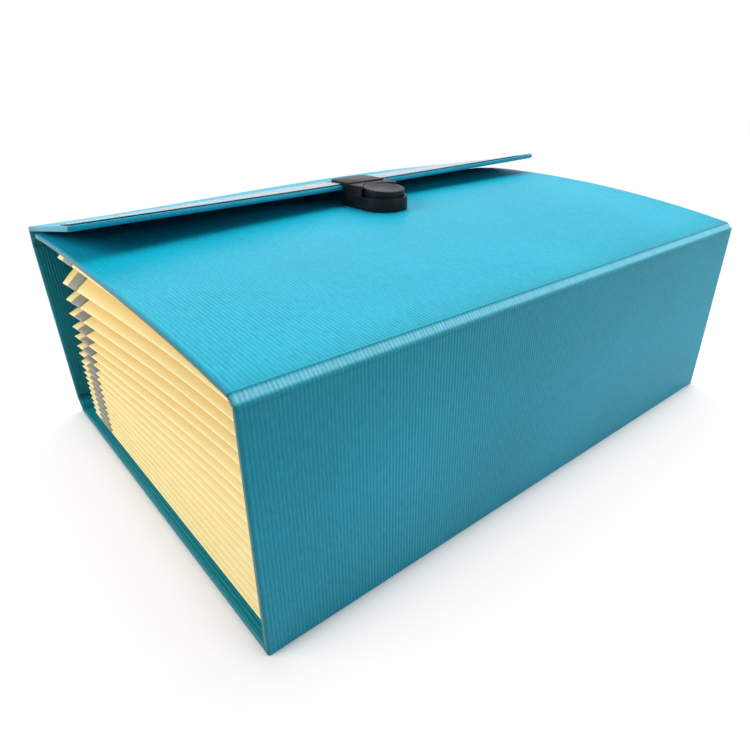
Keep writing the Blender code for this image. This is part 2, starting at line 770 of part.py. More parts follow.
def build_spring(steel):
    """The return spring in the button's recess, one unbroken tube along a helix."""
    heights = clasp_heights()
    low = heights["web_top"] + SEAM + SPRING_WIRE / 2
    high = heights["rim"] + BUTTON_STAND + BUTTON_RECESS - SEAM - SPRING_WIRE / 2
    pitch = (high - low) / SPRING_TURNS
    print("least gap between the spring's turns in mm:", round((pitch - SPRING_WIRE) / MM, 2))
    steps = 10 * SPRING_TURNS
    curve = bpy.data.curves.new("clasp_spring", "CURVE")
    curve.dimensions = "3D"
    curve.bevel_depth = SPRING_WIRE / 2
    curve.bevel_resolution = 1
    curve.use_fill_caps = True
    line = curve.splines.new("POLY")
    line.points.add(steps)
    for step in range(steps + 1):
        turn = 2 * math.pi * SPRING_TURNS * step / steps
        place = (SPRING_RADIUS * math.cos(turn), SPRING_RADIUS * math.sin(turn))
        line.points[step].co = (*place, blend(low, high, step / steps), 1)
    curve.materials.append(steel)
    spring = bpy.data.objects.new("clasp_spring", curve)
    spring.location = (0, CLASP_REACH - MIDDLE, 0)
    bpy.context.collection.objects.link(spring)
    return spring


def build_clip(steel):
    """U-shaped catch under the housing's web, its arms on either side of the stud."""
    heights = clasp_heights()
    gap = STUD_RADIUS + SEAM
    outer = gap + CLIP_ARM
    open_end = CLASP_REACH - CLIP_LENGTH / 2
    closed_end = CLASP_REACH + CLIP_LENGTH / 2
    outline = [
        (-outer, open_end),
        (-gap, open_end),
        (-gap, closed_end - CLIP_ARM),
        (gap, closed_end - CLIP_ARM),
        (gap, open_end),
        (outer, open_end),
        (outer, closed_end),
        (-outer, closed_end),
    ]
    high = heights["web_bottom"] - SEAM
    return add_object(
        "catch_clip", outline_prism(outline, high - CLIP_THICKNESS, high), steel, (0, *FLAP_CREASE)
    )


def build_stud(plastic):
    """Strike stud: a base on the front cover, a post for the catch and a shank in the board."""
    cover = clasp_heights()["cover"]
    slope = cover_top(STUD_BASE_RADIUS, CLASP_REACH) - cover
    base_low = cover + SEAM + abs(slope)
    base_high = base_low + STUD_BASE
    post_high = cover + STUD_HEIGHT
    edge = CLASP_EDGE
    profile = [
        (0, cover - BOARD + SEAM),
        (STUD_SHANK_RADIUS, cover - BOARD + SEAM),
        (STUD_SHANK_RADIUS, base_low),
        (STUD_BASE_RADIUS, base_low),
        (STUD_BASE_RADIUS, base_high),
        (STUD_RADIUS, base_high),
        (STUD_RADIUS, post_high - edge),
        (STUD_RADIUS - edge, post_high),
        (0, post_high),
    ]
    stud = add_object(
        "strike_stud", lathe(profile, (0, CLASP_REACH), 24), plastic, (0, *COVER_CREASE)
    )
    shade_round(stud)
    return stud


def build_under_plate(steel):
    """Clamping plate under the flap's edge, which follows the board."""
    half = RING_RADIUS - UNDER_PLATE_MARGIN
    xs = spread(-half, half, 2)
    ys = spread(FLAP_EDGE + UNDER_PLATE_MARGIN, clasp_rear() - UNDER_PLATE_MARGIN, 2)
    bm = slab(xs, ys, lambda x, y: flap_top(x, y) - BOARD - SEAM, UNDER_PLATE)
    plate = add_object("clasp_under_plate", bm, steel, (0, *FLAP_CREASE))
    for index, (x, y) in enumerate(rivet_places()):
        low = flap_top(x, y) - BOARD - OVERRUN
        high = flap_top(x, y) + OVERRUN
        radius = RIVET_RADIUS + SEAM
        hole = lathe([(0, low), (radius, low), (radius, high), (0, high)], (x, y), 12)
        add_boolean(plate, add_object(f"under_plate_cutter_{index}", hole, steel), "DIFFERENCE")
    return plate


def build_rivets(steel):
    """Two rivets through under plate and flap, their shanks ending inside the housing's plate."""
    for name, (x, y) in zip(("left", "right"), rivet_places()):
        head_high = flap_top(x, y) - BOARD - SEAM - UNDER_PLATE - SEAM
        head_low = head_high - RIVET_HEAD
        tip = flap_top(x, y) + SEAM + RIVET_BITE
        profile = [
            (0, head_low),
            (RIVET_HEAD_RADIUS - CLASP_EDGE, head_low),
            (RIVET_HEAD_RADIUS, head_high),
            (RIVET_RADIUS, head_high),
            (RIVET_RADIUS, tip),
            (0, tip),
        ]
        rivet = add_object(f"clasp_rivet_{name}", lathe(profile, (x, y), 16), steel, (0, *FLAP_CREASE))
        shade_round(rivet)


def build():
    remove_everything()
    board = make_material("ribbed_board", (0.045, 0.42, 0.50), 0.42)
    card = make_material("cream_card", (0.93, 0.80, 0.50), 0.8)
    cloth_tape = make_material("grey_tape", (0.27, 0.26, 0.21), 0.7)
    index_paper = make_material("index_card", (0.80, 0.78, 0.82), 0.6)
    index_film = make_material("index_film", (0.86, 0.88, 0.90), 0.15)
    plastic = make_material("black_plastic", (0.025, 0.030, 0.034), 0.45)
    steel = make_material("plated_steel", (0.62, 0.62, 0.60), 0.3, 1.0)

    build_case(board)
    build_front_cover(board)
    build_flap(board)

    build_sheet("back_sheet", 0.0, card, (0, 0, 0))
    build_sheet("front_sheet", 1.0, card, (0, *COVER_CREASE))
    build_dividers(card)
    build_bottom_gusset(card)
    for name, side in (("left", -1), ("right", 1)):
        build_side_gusset(f"{name}_gusset", side, card)
        build_tape(f"{name}_gusset_tape", side, cloth_tape)

    build_index("index_card", SEAM, CARD, index_paper)
    build_index("index_film", 2 * SEAM + CARD, FILM, index_film)

    build_clasp_housing(plastic)
    build_button(plastic)
    build_spring(steel)
    build_clip(steel)
    build_stud(plastic)
    build_under_plate(steel)
    build_rivets(steel)


build()
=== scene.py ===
"""Dressed model of an expanding document file that lies closed and latched on its back cover."""
import math

import bmesh
import bpy
from mathutils import Matrix, Vector


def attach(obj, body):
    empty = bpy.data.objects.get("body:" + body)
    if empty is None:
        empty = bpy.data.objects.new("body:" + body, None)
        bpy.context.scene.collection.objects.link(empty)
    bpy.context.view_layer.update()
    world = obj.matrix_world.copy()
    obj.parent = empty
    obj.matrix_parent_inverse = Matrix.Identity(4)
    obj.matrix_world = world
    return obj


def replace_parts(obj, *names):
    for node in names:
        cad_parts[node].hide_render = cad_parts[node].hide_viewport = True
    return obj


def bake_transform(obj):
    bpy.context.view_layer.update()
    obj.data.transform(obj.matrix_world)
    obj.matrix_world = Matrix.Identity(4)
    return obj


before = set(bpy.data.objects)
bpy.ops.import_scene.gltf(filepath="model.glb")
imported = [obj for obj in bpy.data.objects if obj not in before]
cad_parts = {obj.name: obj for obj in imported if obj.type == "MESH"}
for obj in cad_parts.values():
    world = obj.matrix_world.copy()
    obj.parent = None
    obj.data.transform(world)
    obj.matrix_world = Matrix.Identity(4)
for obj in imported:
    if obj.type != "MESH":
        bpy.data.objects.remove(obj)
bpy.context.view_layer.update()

# ---- Studio: the photograph's camera, a white table, a lamp high at the right and two at the
# sides. The world is white to the camera and in reflections, where it dims overhead, as the
# ceiling of a room does.

FRAME_PIXELS = 750
FOCAL_PIXELS = 586.5
SENSOR_WIDTH = 36
CAMERA_PLACE = (-0.2254, -0.259731, 0.188)
CAMERA_RIGHT = (0.77075152, -0.6370858, -0.0079859)
CAMERA_AHEAD = (0.56472222, 0.68890174, -0.45442625)

camera_data = bpy.data.cameras.new("camera")
camera_data.sensor_width = SENSOR_WIDTH
camera_data.lens = SENSOR_WIDTH * FOCAL_PIXELS / FRAME_PIXELS
camera = bpy.data.objects.new("camera", camera_data)
right = Vector(CAMERA_RIGHT).normalized()
ahead = Vector(CAMERA_AHEAD).normalized()
up = right.cross(ahead).normalized()
turn = Matrix((right, up, -ahead)).transposed()
camera.matrix_world = Matrix.Translation(CAMERA_PLACE) @ turn.to_4x4()
bpy.context.scene.collection.objects.link(camera)
bpy.context.scene.camera = camera
bpy.context.scene.view_settings.view_transform = "Standard"


def add_node(tree, kind, inputs=None, **settings):
    """A new node with its settings made, and each input set to a value or linked to a socket."""
    node = tree.nodes.new(kind)
    for name, value in settings.items():
        setattr(node, name, value)
    for name, value in (inputs or {}).items():
        if isinstance(value, bpy.types.NodeSocket):
            tree.links.new(value, node.inputs[name])
        else:
            node.inputs[name].default_value = value
    return node


def work_out(tree, operation, first, second):
    """The result of one sum on two sockets or plain numbers."""
    node = add_node(tree, "ShaderNodeMath", {0: first, 1: second}, operation=operation)
    return node.outputs["Value"]


def seen_directly(tree):
    """A socket that is 1 to the camera and in reflections, and 0 to the light on other surfaces."""
    path = add_node(tree, "ShaderNodeLightPath").outputs
    return work_out(tree, "MAXIMUM", path["Is Camera Ray"], path["Is Glossy Ray"])


DAYLIGHT = (0.93, 0.97, 1.0, 1)
DAYLIGHT_STRENGTH = 0.3
WHITE = (1, 1, 1, 1)
CEILING_DIM = {"From Min": 0.38, "From Max": 0.66, "To Min": 1.0, "To Max": 0.75}

world = bpy.data.worlds.new("studio")
world.use_nodes = True
bpy.context.scene.world = world
tree = world.node_tree
sky = tree.nodes["Background"]
sky.inputs["Color"].default_value = DAYLIGHT
sky.inputs["Strength"].default_value = DAYLIGHT_STRENGTH
heading = add_node(tree, "ShaderNodeTexCoord").outputs["Object"]
height = add_node(tree, "ShaderNodeSeparateXYZ", {"Vector": heading}).outputs["Z"]
level = add_node(tree, "ShaderNodeMapRange", {"Value": height, **CEILING_DIM}).outputs["Result"]
backdrop = add_node(tree, "ShaderNodeBackground", {"Color": WHITE, "Strength": level})
either = add_node(tree, "ShaderNodeMixShader", {
    "Fac": seen_directly(tree), 1: sky.outputs["Background"], 2: backdrop.outputs["Background"],
})
tree.links.new(either.outputs["Shader"], tree.nodes["World Output"].inputs["Surface"])


def area_lamp(name, place, target, size, power, colour=(1, 1, 1)):
    data = bpy.data.lights.new(name, "AREA")
    data.shape = "RECTANGLE"
    data.size, data.size_y = size
    data.energy = power
    data.color = colour
    lamp = bpy.data.objects.new(name, data)
    lamp.location = place
    lamp.rotation_euler = (Vector(target) - Vector(place)).to_track_quat("-Z", "Y").to_euler()
    bpy.context.scene.collection.objects.link(lamp)
    return lamp


ceiling = area_lamp(
    "overhead", place=(0.55, 0.45, 1.4), target=(0, 0, 0.1), size=(1.4, 1.3), power=31,
    colour=(1.0, 0.99, 0.97),
)
ceiling.visible_glossy = False
area_lamp(
    "left_window", place=(-1.3, 0.5, 0.85), target=(0, 0, 0.06), size=(1.0, 0.8), power=19,
    colour=(1.0, 0.98, 0.95),
)
area_lamp(
    "right_card", place=(0.25, -0.55, 0.3), target=(0.12, -0.12, 0.06), size=(0.4, 0.3),
    power=1.2,
)

TABLE_SIZE = 4
TABLE_Z = -0.00025
TABLE_GREY = (0.5, 0.5, 0.5, 1)
TABLE_WHITE = (0.97, 0.96, 0.95, 1)
FOOTPRINT = (0.165, 0.1234, 0)
SHADOW_REACH = 0.006

table = bmesh.new()
bmesh.ops.create_grid(table, x_segments=1, y_segments=1, size=TABLE_SIZE)
bmesh.ops.translate(table, verts=table.verts, vec=(0, 0, TABLE_Z))
table_mesh = bpy.data.meshes.new("table")
table.to_mesh(table_mesh)
table.free()
table_top = bpy.data.objects.new("table", table_mesh)
bpy.context.scene.collection.objects.link(table_top)
table_paint = bpy.data.materials.new("table_white")
table_paint.use_nodes = True
tree = table_paint.node_tree
paint = tree.nodes["Principled BSDF"]
paint.inputs["Roughness"].default_value = 0.6
paint.inputs["Specular IOR Level"].default_value = 0
seen = seen_directly(tree)
shade = add_node(tree, "ShaderNodeValToRGB", {"Fac": seen})
shade.color_ramp.elements[0].color = TABLE_GREY
shade.color_ramp.elements[1].color = TABLE_WHITE
tree.links.new(shade.outputs["Color"], paint.inputs["Base Color"])
glow = add_node(tree, "ShaderNodeEmission", {"Strength": 1.0})

# The table glows by its distance from the file's footprint, so that the shadow near it stays.
outside = add_node(tree, "ShaderNodeTexCoord").outputs["Object"]
for operation, operand in (("ABSOLUTE", None), ("SUBTRACT", FOOTPRINT), ("MAXIMUM", (0, 0, 0))):
    inputs = {0: outside, 1: operand} if operand else {0: outside}
    outside = add_node(tree, "ShaderNodeVectorMath", inputs, operation=operation).outputs["Vector"]
away = add_node(tree, "ShaderNodeVectorMath", {0: outside}, operation="LENGTH").outputs["Value"]
share = work_out(tree, "DIVIDE", away, work_out(tree, "ADD", away, SHADOW_REACH))
either = add_node(tree, "ShaderNodeMixShader", {
    "Fac": work_out(tree, "MULTIPLY", share, seen),
    1: paint.outputs["BSDF"],
    2: glow.outputs["Emission"],
})
tree.links.new(either.outputs["Shader"], tree.nodes["Material Output"].inputs["Surface"])
table_mesh.materials.append(table_paint)

# ---- Case: one board faced with ribbed teal leatherette, cut and creased into strips. Each strip
# is a closed loop of points carried along X, four stations to a rib for its round crest, with
# its creases pressed in and its ends rolled over.

HALF_LENGTH = 0.165
CASE_DEPTH = 0.24686278
SPINE_Y = -CASE_DEPTH / 2
BOARD = 0.0028
SEAM_OVERLAP = 0.00006

# A rib's height at its four stations, as shares of its depth; its tone is that plus the valley's.
# The tone paints shade into the valleys between ribs and onto the rolled ends.
RIBS = 207
RIB_DEPTH = 0.0002
RIB_SHAPE = (-0.6, 0.15, 0.4, 0.15)
RIB_VALLEY = 0.6

# The rolled left and right ends get painted shade, darker low down, and so does the back cover's
# inner face.
END_ROLL = 0.0008
END_DEGREES = (90, 60, 30)
END_TONE = 0.4
ROLLED_IN = -0.0003
END_SHADE_TOP, END_SHADE_FADE = 0.118, 0.008
END_SHADES = (0.1, 0.9)
INNER_FACE_Z, INNER_FACE_SHADE = 0.002, 0.5

# Radii of the long edges: the most that the board's thickness takes, and a crease's.
MOST_ROLL = 0.0013
TIGHT_ROLL = 0.00015

# The step to either side, as a share of a strip, over which its slope is taken.
SLOPE_STEP = 0.004

# The pressed line beside a crease: its depth, its place on the outer and the inner face, its half
# width and the strength of its painted shade, and the stations across it.
PRESS_DEPTH = 0.00022
PRESS_PLACE, INNER_PRESS_PLACE = 0.0013, 0.0009
PRESS_WIDTH = 0.0014
OUTER_PRESS_SHADE = 0.5
PRESS_SPAN, PRESS_MOST_SPAN = 0.001, 0.2
PRESS_STEPS = (0, 0.4, 1, 1.6, 2.2)

# Half width and strength of the painted highlight down the narrow strip's middle and of the
# painted shade along its two pressed edges.
NARROW_HIGHLIGHT = (0.0019, 1.4)
NARROW_SHADE = (0.0011, 0.35)

TEAL_START = (0.01, 0.25, 0.33)
TEAL_DARK, TEAL_LIGHT = (0.003, 0.35, 0.50), (0.006, 0.40, 0.565)
# Colours of painted light: a highlight, the shade in rib valleys, and the shade by creases and
# ends.
TEAL_PAINTED_HIGHLIGHT = (0.21, 0.62, 0.78)
TEAL_VALLEY_SHADE = (0.55, 0.78, 0.8)
TEAL_PAINTED_SHADE = (0.0, 0.12, 0.14)


def start_material(name, colour, roughness, metallic=0.0):
    material = bpy.data.materials.new(name)
    material.use_nodes = True
    shader = material.node_tree.nodes["Principled BSDF"]
    shader.inputs["Base Color"].default_value = (*colour, 1)
    shader.inputs["Roughness"].default_value = roughness
    shader.inputs["Metallic"].default_value = metallic
    return material, material.node_tree, shader


def add_noise(tree, scale, detail, stretch=None):
    """Noise on the piece's own coordinates, stretched along them if that is asked."""
    place = add_node(tree, "ShaderNodeTexCoord").outputs["Object"]
    if stretch:
        mapping = add_node(tree, "ShaderNodeMapping", {"Vector": place, "Scale": stretch})
        place = mapping.outputs["Vector"]
    inputs = {"Vector": place, "Scale": scale, "Detail": detail}
    return add_node(tree, "ShaderNodeTexNoise", inputs).outputs["Fac"]


def add_ramp(tree, source, low, high, from_low=0.3, from_high=0.7):
    ramp = add_node(tree, "ShaderNodeValToRGB", {"Fac": source})
    for element, place, colour in zip(
        ramp.color_ramp.elements, (from_low, from_high), (low, high)
    ):
        element.position = place
        element.color = (*colour, 1)
    return ramp.outputs["Color"]


def grey(tone):
    return (tone,) * 3


def mix_colour(tree, factor, low, high, way="MIX"):
    """A blend of two colours; factor and colours are sockets or plain values."""
    factor_socket, low_socket, high_socket, colour_output = 0, 6, 7, 2
    inputs = {factor_socket: factor}
    for socket, colour in ((low_socket, low), (high_socket, high)):
        linked = isinstance(colour, bpy.types.NodeSocket)
        inputs[socket] = colour if linked else (*colour, 1)
    node = add_node(tree, "ShaderNodeMix", inputs, data_type="RGBA", blend_type=way)
    return node.outputs[colour_output]


def add_bump(tree, source, shader, strength, distance, under=None):
    """Bump on the shader, laid over the bump under it if there is one."""
    inputs = {"Height": source, "Strength": strength, "Distance": distance}
    if under:
        inputs["Normal"] = under
    normal = add_node(tree, "ShaderNodeBump", inputs).outputs["Normal"]
    tree.links.new(normal, shader.inputs["Normal"])
    return normal


def read_painted_light(tree):
    """The red, green and blue sockets of the layer of painted light and shade on a piece's points.
    """
    painted_light = add_node(tree, "ShaderNodeAttribute", attribute_name="painted_light").outputs["Color"]
    return add_node(tree, "ShaderNodeSeparateColor", {"Color": painted_light}).outputs


def make_board_material():
    """Teal leatherette over board. Its layer holds, per point, the rib's tone in red, which paints
    shade into the valleys; painted shade by the creases, on the rolled ends and on the back
    cover's inner face in green; and a painted highlight down the narrow strip in blue.
    """
    material, tree, shader = start_material("ribbed_teal_board", TEAL_START, roughness=0.4)
    painted_light = read_painted_light(tree)
    flat = add_ramp(tree, add_noise(tree, scale=14, detail=3), TEAL_DARK, TEAL_LIGHT)
    # Painted highlight down the narrow crease strip.
    base = mix_colour(tree, painted_light["Blue"], flat, TEAL_PAINTED_HIGHLIGHT)
    # Painted shade in the valleys between ribs and on the rolled ends.
    valley_shaded = mix_colour(tree, 1, base, TEAL_VALLEY_SHADE, "MULTIPLY")
    ribbed = mix_colour(tree, painted_light["Red"], valley_shaded, base)
    streaks = add_noise(tree, scale=1, detail=3, stretch=(1500, 260, 260))
    streaked = add_ramp(tree, streaks, grey(0.84), grey(1.0), from_low=0.35, from_high=0.6)
    grained = mix_colour(tree, 1, ribbed, streaked, "MULTIPLY")
    # Painted shade by the creases, on the rolled ends and on the back cover's inner face.
    shade_painted = mix_colour(tree, painted_light["Green"], grained, TEAL_PAINTED_SHADE)
    tree.links.new(shade_painted, shader.inputs["Base Color"])
    grain = add_noise(tree, scale=1, detail=2, stretch=(1100, 2600, 2600))
    shine = add_ramp(tree, grain, grey(0.3), grey(0.44))
    tree.links.new(shine, shader.inputs["Roughness"])
    ridges = add_bump(tree, streaks, shader, strength=0.35, distance=0.00018)
    add_bump(tree, grain, shader, strength=0.15, distance=0.00008, under=ridges)
    shader.inputs["Specular IOR Level"].default_value = 0.27
    return material


board_teal = make_board_material()


def mix(low, high, share):
    return low + (high - low) * share


def clamp(value, low=0, high=1):
    return min(max(value, low), high)


def skin(bm, rows, closed=False, turned_over=False):
    """Faces between neighbouring rows of points; a closed row's last point meets its first."""
    faces = []
    for row, following in zip(rows, rows[1:]):
        for index in range(len(row) if closed else len(row) - 1):
            after = (index + 1) % len(row)
            corners = [row[index], row[after], following[after], following[index]]
            if turned_over:
                corners = [row[index], following[index], following[after], row[after]]
            faces.append(bm.faces.new(corners))
    return faces


def add_piece(name, bm, material, body=None, smooth=True):
    bmesh.ops.recalc_face_normals(bm, faces=bm.faces[:])
    mesh = bpy.data.meshes.new(name)
    bm.to_mesh(mesh)
    bm.free()
    mesh.materials.append(material)
    if smooth:
        mesh.shade_smooth()
    piece = bpy.data.objects.new(name, mesh)
    bpy.context.scene.collection.objects.link(piece)
    if body:
        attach(piece, body)
    return piece


def roll_corner(before, corner, after, radius):
    """Five points of a round corner in place of a sharp one."""
    first = corner + (before - corner).normalized() * radius
    last = corner + (after - corner).normalized() * radius
    points = []
    for share in (0, 0.25, 0.5, 0.75, 1):
        held = corner * 2 * share * (1 - share)
        points.append(first * (1 - share) ** 2 + held + last * share ** 2)
    return points


def board_section(outer, inner, x, shares, swell, rolls):
    """The loop of (y, z) points round the board at x, swollen by a rib or shrunk by swell."""
    faces = []
    for run, way in ((outer, 1), (inner, -1)):
        points = []
        for share in shares:
            low, high = max(share - SLOPE_STEP, 0), min(share + SLOPE_STEP, 1)
            along = (run(x, high) - run(x, low)).normalized()
            normal = Vector((-along.y, along.x))
            if normal.dot(outer(x, 0.5) - inner(x, 0.5)) < 0:
                normal = -normal
            points.append(run(x, share) + normal * (way * swell))
        faces.append(points)
    top, under = faces[0], faces[1][::-1]
    if swell < ROLLED_IN:
        for face in (top, under):
            face[0] += (face[1] - face[0]).normalized() * -swell
            face[-1] += (face[-2] - face[-1]).normalized() * -swell
    near, far = (min(roll, MOST_ROLL + min(swell, 0)) for roll in rolls)
    loop = roll_corner(under[-1], top[0], top[1], near) + top[1:-1]
    loop += roll_corner(top[-2], top[-1], under[0], far)
    loop += roll_corner(top[-1], under[0], under[1], far) + under[1:-1]
    return loop + roll_corner(under[-2], under[-1], top[0], near)


def rib_stations():
    """(x, swell, tone) of each loop along the board, from its rolled right end to its left one."""
    rolled = []
    for degrees in END_DEGREES:
        angle = math.radians(degrees)
        x = HALF_LENGTH - END_ROLL + END_ROLL * math.sin(angle)
        rolled.append((x, -END_ROLL * (1 - math.cos(angle)), END_TONE))
    count = RIBS * len(RIB_SHAPE)
    ribs = []
    for step in range(count + 1):
        x = mix(HALF_LENGTH - END_ROLL, END_ROLL - HALF_LENGTH, step / count)
        shape = RIB_SHAPE[step % len(RIB_SHAPE)]
        ribs.append((x, RIB_DEPTH * shape, shape + RIB_VALLEY))
    return rolled + ribs + [(-x, swell, tone) for x, swell, tone in rolled[::-1]]


def add_board(name, node, body, outer, inner, shares, rolls, crease_shades=(), crease_highlights=()):
    """The ribbed board; lines of painted shade and highlight are (y, z, half width, strength)."""
    bm = bmesh.new()
    painted_light = bm.verts.layers.float_color.new("painted_light")
    loops = []
    for x, swell, tone in rib_stations():
        loop = []
        edge = clamp((abs(x) - HALF_LENGTH + END_ROLL) / END_ROLL)
        for spot in board_section(outer, inner, x, shares, swell, rolls):
            # Painted shade on the rolled ends, darker low down, and on the back cover's inner face.
            end_shade = clamp((END_SHADE_TOP - spot.y) / END_SHADE_FADE, *END_SHADES)
            marks = [edge ** 2 * end_shade, 0]
            if node == "back_cover" and spot.y > INNER_FACE_Z:
                marks[0] = max(marks[0], INNER_FACE_SHADE)
            # Painted shade and painted highlight along lines by the creases.
            for channel, lines in enumerate((crease_shades, crease_highlights)):
                for y, z, width, strength in lines:
                    gap = (spot - Vector((y, z))).length / width
                    marks[channel] = max(marks[channel], strength * max(1 - gap * gap, 0))
            vert = bm.verts.new((x, *spot))
            vert[painted_light] = (tone, *marks, 1)
            loop.append(vert)
        loops.append(loop)
    skin(bm, loops, closed=True)
    for loop in (loops[0], loops[-1]):
        cap = bm.faces.new(loop)
        bmesh.ops.triangulate(bm, faces=[cap], ngon_method="EAR_CLIP")
    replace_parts(add_piece(name, bm, board_teal, body), node)


def walk(start, length, degrees):
    angle = math.radians(degrees)
    return Vector((start[0] + length * math.cos(angle), start[1] + length * math.sin(angle)))


def dip(distance):
    """How far a pressed crease lowers the board at a distance from it."""
    return PRESS_DEPTH * max(1 - ((distance - PRESS_PLACE) / PRESS_PLACE) ** 2, 0)


def add_strip(node, body, start, length, degrees, turns, depths):
    """A flat strip of the case from a crease at start, mitred where it meets its neighbours.

    depths are how deep the pressed line beside each of its two creases is, and how strong its
    painted shade is.
    """
    near = BOARD * math.tan(math.radians(turns[0] / 2))
    far = BOARD * math.tan(math.radians(turns[1] / 2))
    inward = walk((0, 0), 1, degrees + 90)

    def outer(x, share):
        run = mix(-SEAM_OVERLAP, length + SEAM_OVERLAP, share)
        sunk = depths[0] * dip(run) + depths[1] * dip(length - run)
        return walk(start, run, degrees) + inward * sunk

    def inner(x, share):
        run = mix(-SEAM_OVERLAP + near, length + SEAM_OVERLAP - far, share)
        sunk = depths[0] * dip(run - near) + depths[1] * dip(length - far - run)
        return walk(start, run, degrees) + inward * (BOARD - sunk)

    span = min(PRESS_SPAN, length * PRESS_MOST_SPAN)
    steps = [step * span / length for step in PRESS_STEPS]
    shares = steps + [0.5] + [1 - step for step in steps[::-1]]
    crease_shades = []
    for run, bend, way, depth in ((0, near, 1, depths[0]), (length, far, -1, depths[1])):
        on_face = walk(start, run + way * PRESS_PLACE, degrees)
        on_back = walk(start, run + way * (bend + INNER_PRESS_PLACE), degrees) + inward * BOARD
        crease_shades.append((*on_face, PRESS_WIDTH, depth * OUTER_PRESS_SHADE))
        crease_shades.append((*on_back, PRESS_WIDTH, depth))
    crease_highlights = []
    # The narrow strip gets a painted highlight down its middle and painted shade along its two
    # edges.
    if node == "front_crease":
        crease_highlights = [(*walk(start, length / 2, degrees), *NARROW_HIGHLIGHT)]
        crease_shades = [(*walk(start, run, degrees), *NARROW_SHADE) for run in (0, length)]
    rolls = (TIGHT_ROLL, TIGHT_ROLL)
    add_board(f"ribbed_{node}", node, body, outer, inner, shares, rolls, crease_shades, crease_highlights)


BACK_COVER_DEPTH = 0.228
BOTTOM_SPINE_HEIGHT = 0.1045
TOP_SPINE_HEIGHT = 0.0972
NARROW_CREASE = 0.00495
WIDE_CREASE = 0.0104
TOP_SPINE_LEAN = 83.2
FLAP_CREASE_LEAN = 104

corner = Vector((SPINE_Y, 0))
spine_crease = Vector((SPINE_Y, BOTTOM_SPINE_HEIGHT))
cover_crease = walk(spine_crease, NARROW_CREASE, 45)
mouth_crease = Vector((SPINE_Y + BACK_COVER_DEPTH, 0))
top_spine_crease = walk(mouth_crease, WIDE_CREASE, 45)
flap_strip_crease = walk(top_spine_crease, TOP_SPINE_HEIGHT, TOP_SPINE_LEAN)
flap_crease = walk(flap_strip_crease, WIDE_CREASE, FLAP_CREASE_LEAN)

# Node, body, crease the strip starts at, length, heading, turn and pressed depth at either crease.
for strip in (
    ("back_cover", "case", corner, BACK_COVER_DEPTH, 0, (90, 45), (0, 0.9)),
    ("bottom_spine", "case", spine_crease, BOTTOM_SPINE_HEIGHT, -90, (45, 90), (0.9, 0)),
    ("front_crease", "front_crease", cover_crease, NARROW_CREASE, -135, (33, 45), (0, 0)),
    ("mouth_crease", "mouth_crease", mouth_crease, WIDE_CREASE, 45, (45, 38.2), (0.8, 0.8)),
    (
        "top_spine", "top_spine", top_spine_crease, TOP_SPINE_HEIGHT, TOP_SPINE_LEAN,
        (38.2, 20.8), (0.9, 0.9),
    ),
    (
        "flap_crease", "flap_crease", flap_strip_crease, WIDE_CREASE, FLAP_CREASE_LEAN,
        (20.8, 66), (0.6, 0.6),
    ),
):
    add_strip(*strip)

# ---- Front cover: the same board, pushed up by the filled pockets into a crown that is higher
# at its right end and falls towards its free edge. It turns about the narrow crease, where it
# is mitred.

COVER_START, COVER_RUN, COVER_REACH = 0.0035, 0.2275, 0.231
COVER_START_Z = 0.108
COVER_OVERLAP = 0.00004
COVER_MITRE = 0.00158
COVER_DIP = 0.6
COVER_EDGE_ROLL = 0.0006
COVER_PRESS_SHADE = 0.3

# The crown's height at either end, where it peaks, and how it rises to the peak and falls past it.
CROWN_LEFT, CROWN_RIGHT = 0.00585, 0.0139
CROWN_SPREAD = 0.8
CROWN_PEAK, CROWN_PAST = 0.72, 0.28
CROWN_RISE_LEFT, CROWN_RISE_RIGHT = 3, 2.2
CROWN_FALL_LEFT, CROWN_FALL_RIGHT = 0.28, 0.64
CROWN_FALL_POWER = 2.4

# Stations beside the crease, as shares of the board.
NEAR_SHARES = (0, 0.0018, 0.0044, 0.007, 0.0098)


def cover_top(x, y):
    along = clamp(x / (2 * HALF_LENGTH) + 0.5)
    side = math.sin(math.pi / 2 * along) ** CROWN_SPREAD
    crown = mix(CROWN_LEFT, CROWN_RIGHT, side)
    deep = clamp((y - SPINE_Y - COVER_START) / COVER_RUN)
    if deep < CROWN_PEAK:
        power = mix(CROWN_RISE_LEFT, CROWN_RISE_RIGHT, along)
        return COVER_START_Z + crown * (1 - (1 - deep / CROWN_PEAK) ** power)
    past = (deep - CROWN_PEAK) / CROWN_PAST
    fall = mix(CROWN_FALL_LEFT, CROWN_FALL_RIGHT, side)
    return COVER_START_Z + crown * (1 - fall * past ** CROWN_FALL_POWER)


def cover_outer(x, share):
    y = mix(cover_crease.x + COVER_OVERLAP, SPINE_Y + COVER_REACH, share)
    return Vector((y, cover_top(x, y) - dip(y - cover_crease.x) * COVER_DIP))


def cover_inner(x, share):
    y = mix(cover_crease.x + COVER_MITRE, SPINE_Y + COVER_REACH, share)
    return Vector((y, cover_top(x, y) - BOARD))


def spread(low, high, parts):
    return [mix(low, high, part / parts) for part in range(parts + 1)]


# Stations across the board, as shares from its crease to its free edge, closest where it bends.
cover_shares = [*NEAR_SHARES, *spread(0.06, 0.94, 13), 0.994, 1]
# Painted shade along the pressed line beside the cover's crease.
cover_crease_shade = (cover_crease.x + PRESS_PLACE, COVER_START_Z, PRESS_WIDTH, COVER_PRESS_SHADE)
add_board(
    "ribbed_front_cover", "front_cover", "front_cover", cover_outer, cover_inner, cover_shares,
    rolls=(TIGHT_ROLL, COVER_EDGE_ROLL), crease_shades=[cover_crease_shade],
)

# ---- Closing flap: the end of the same board. It rises from its crease to the clasp, bows up
# between its two ends, and its free edge is rolled round.

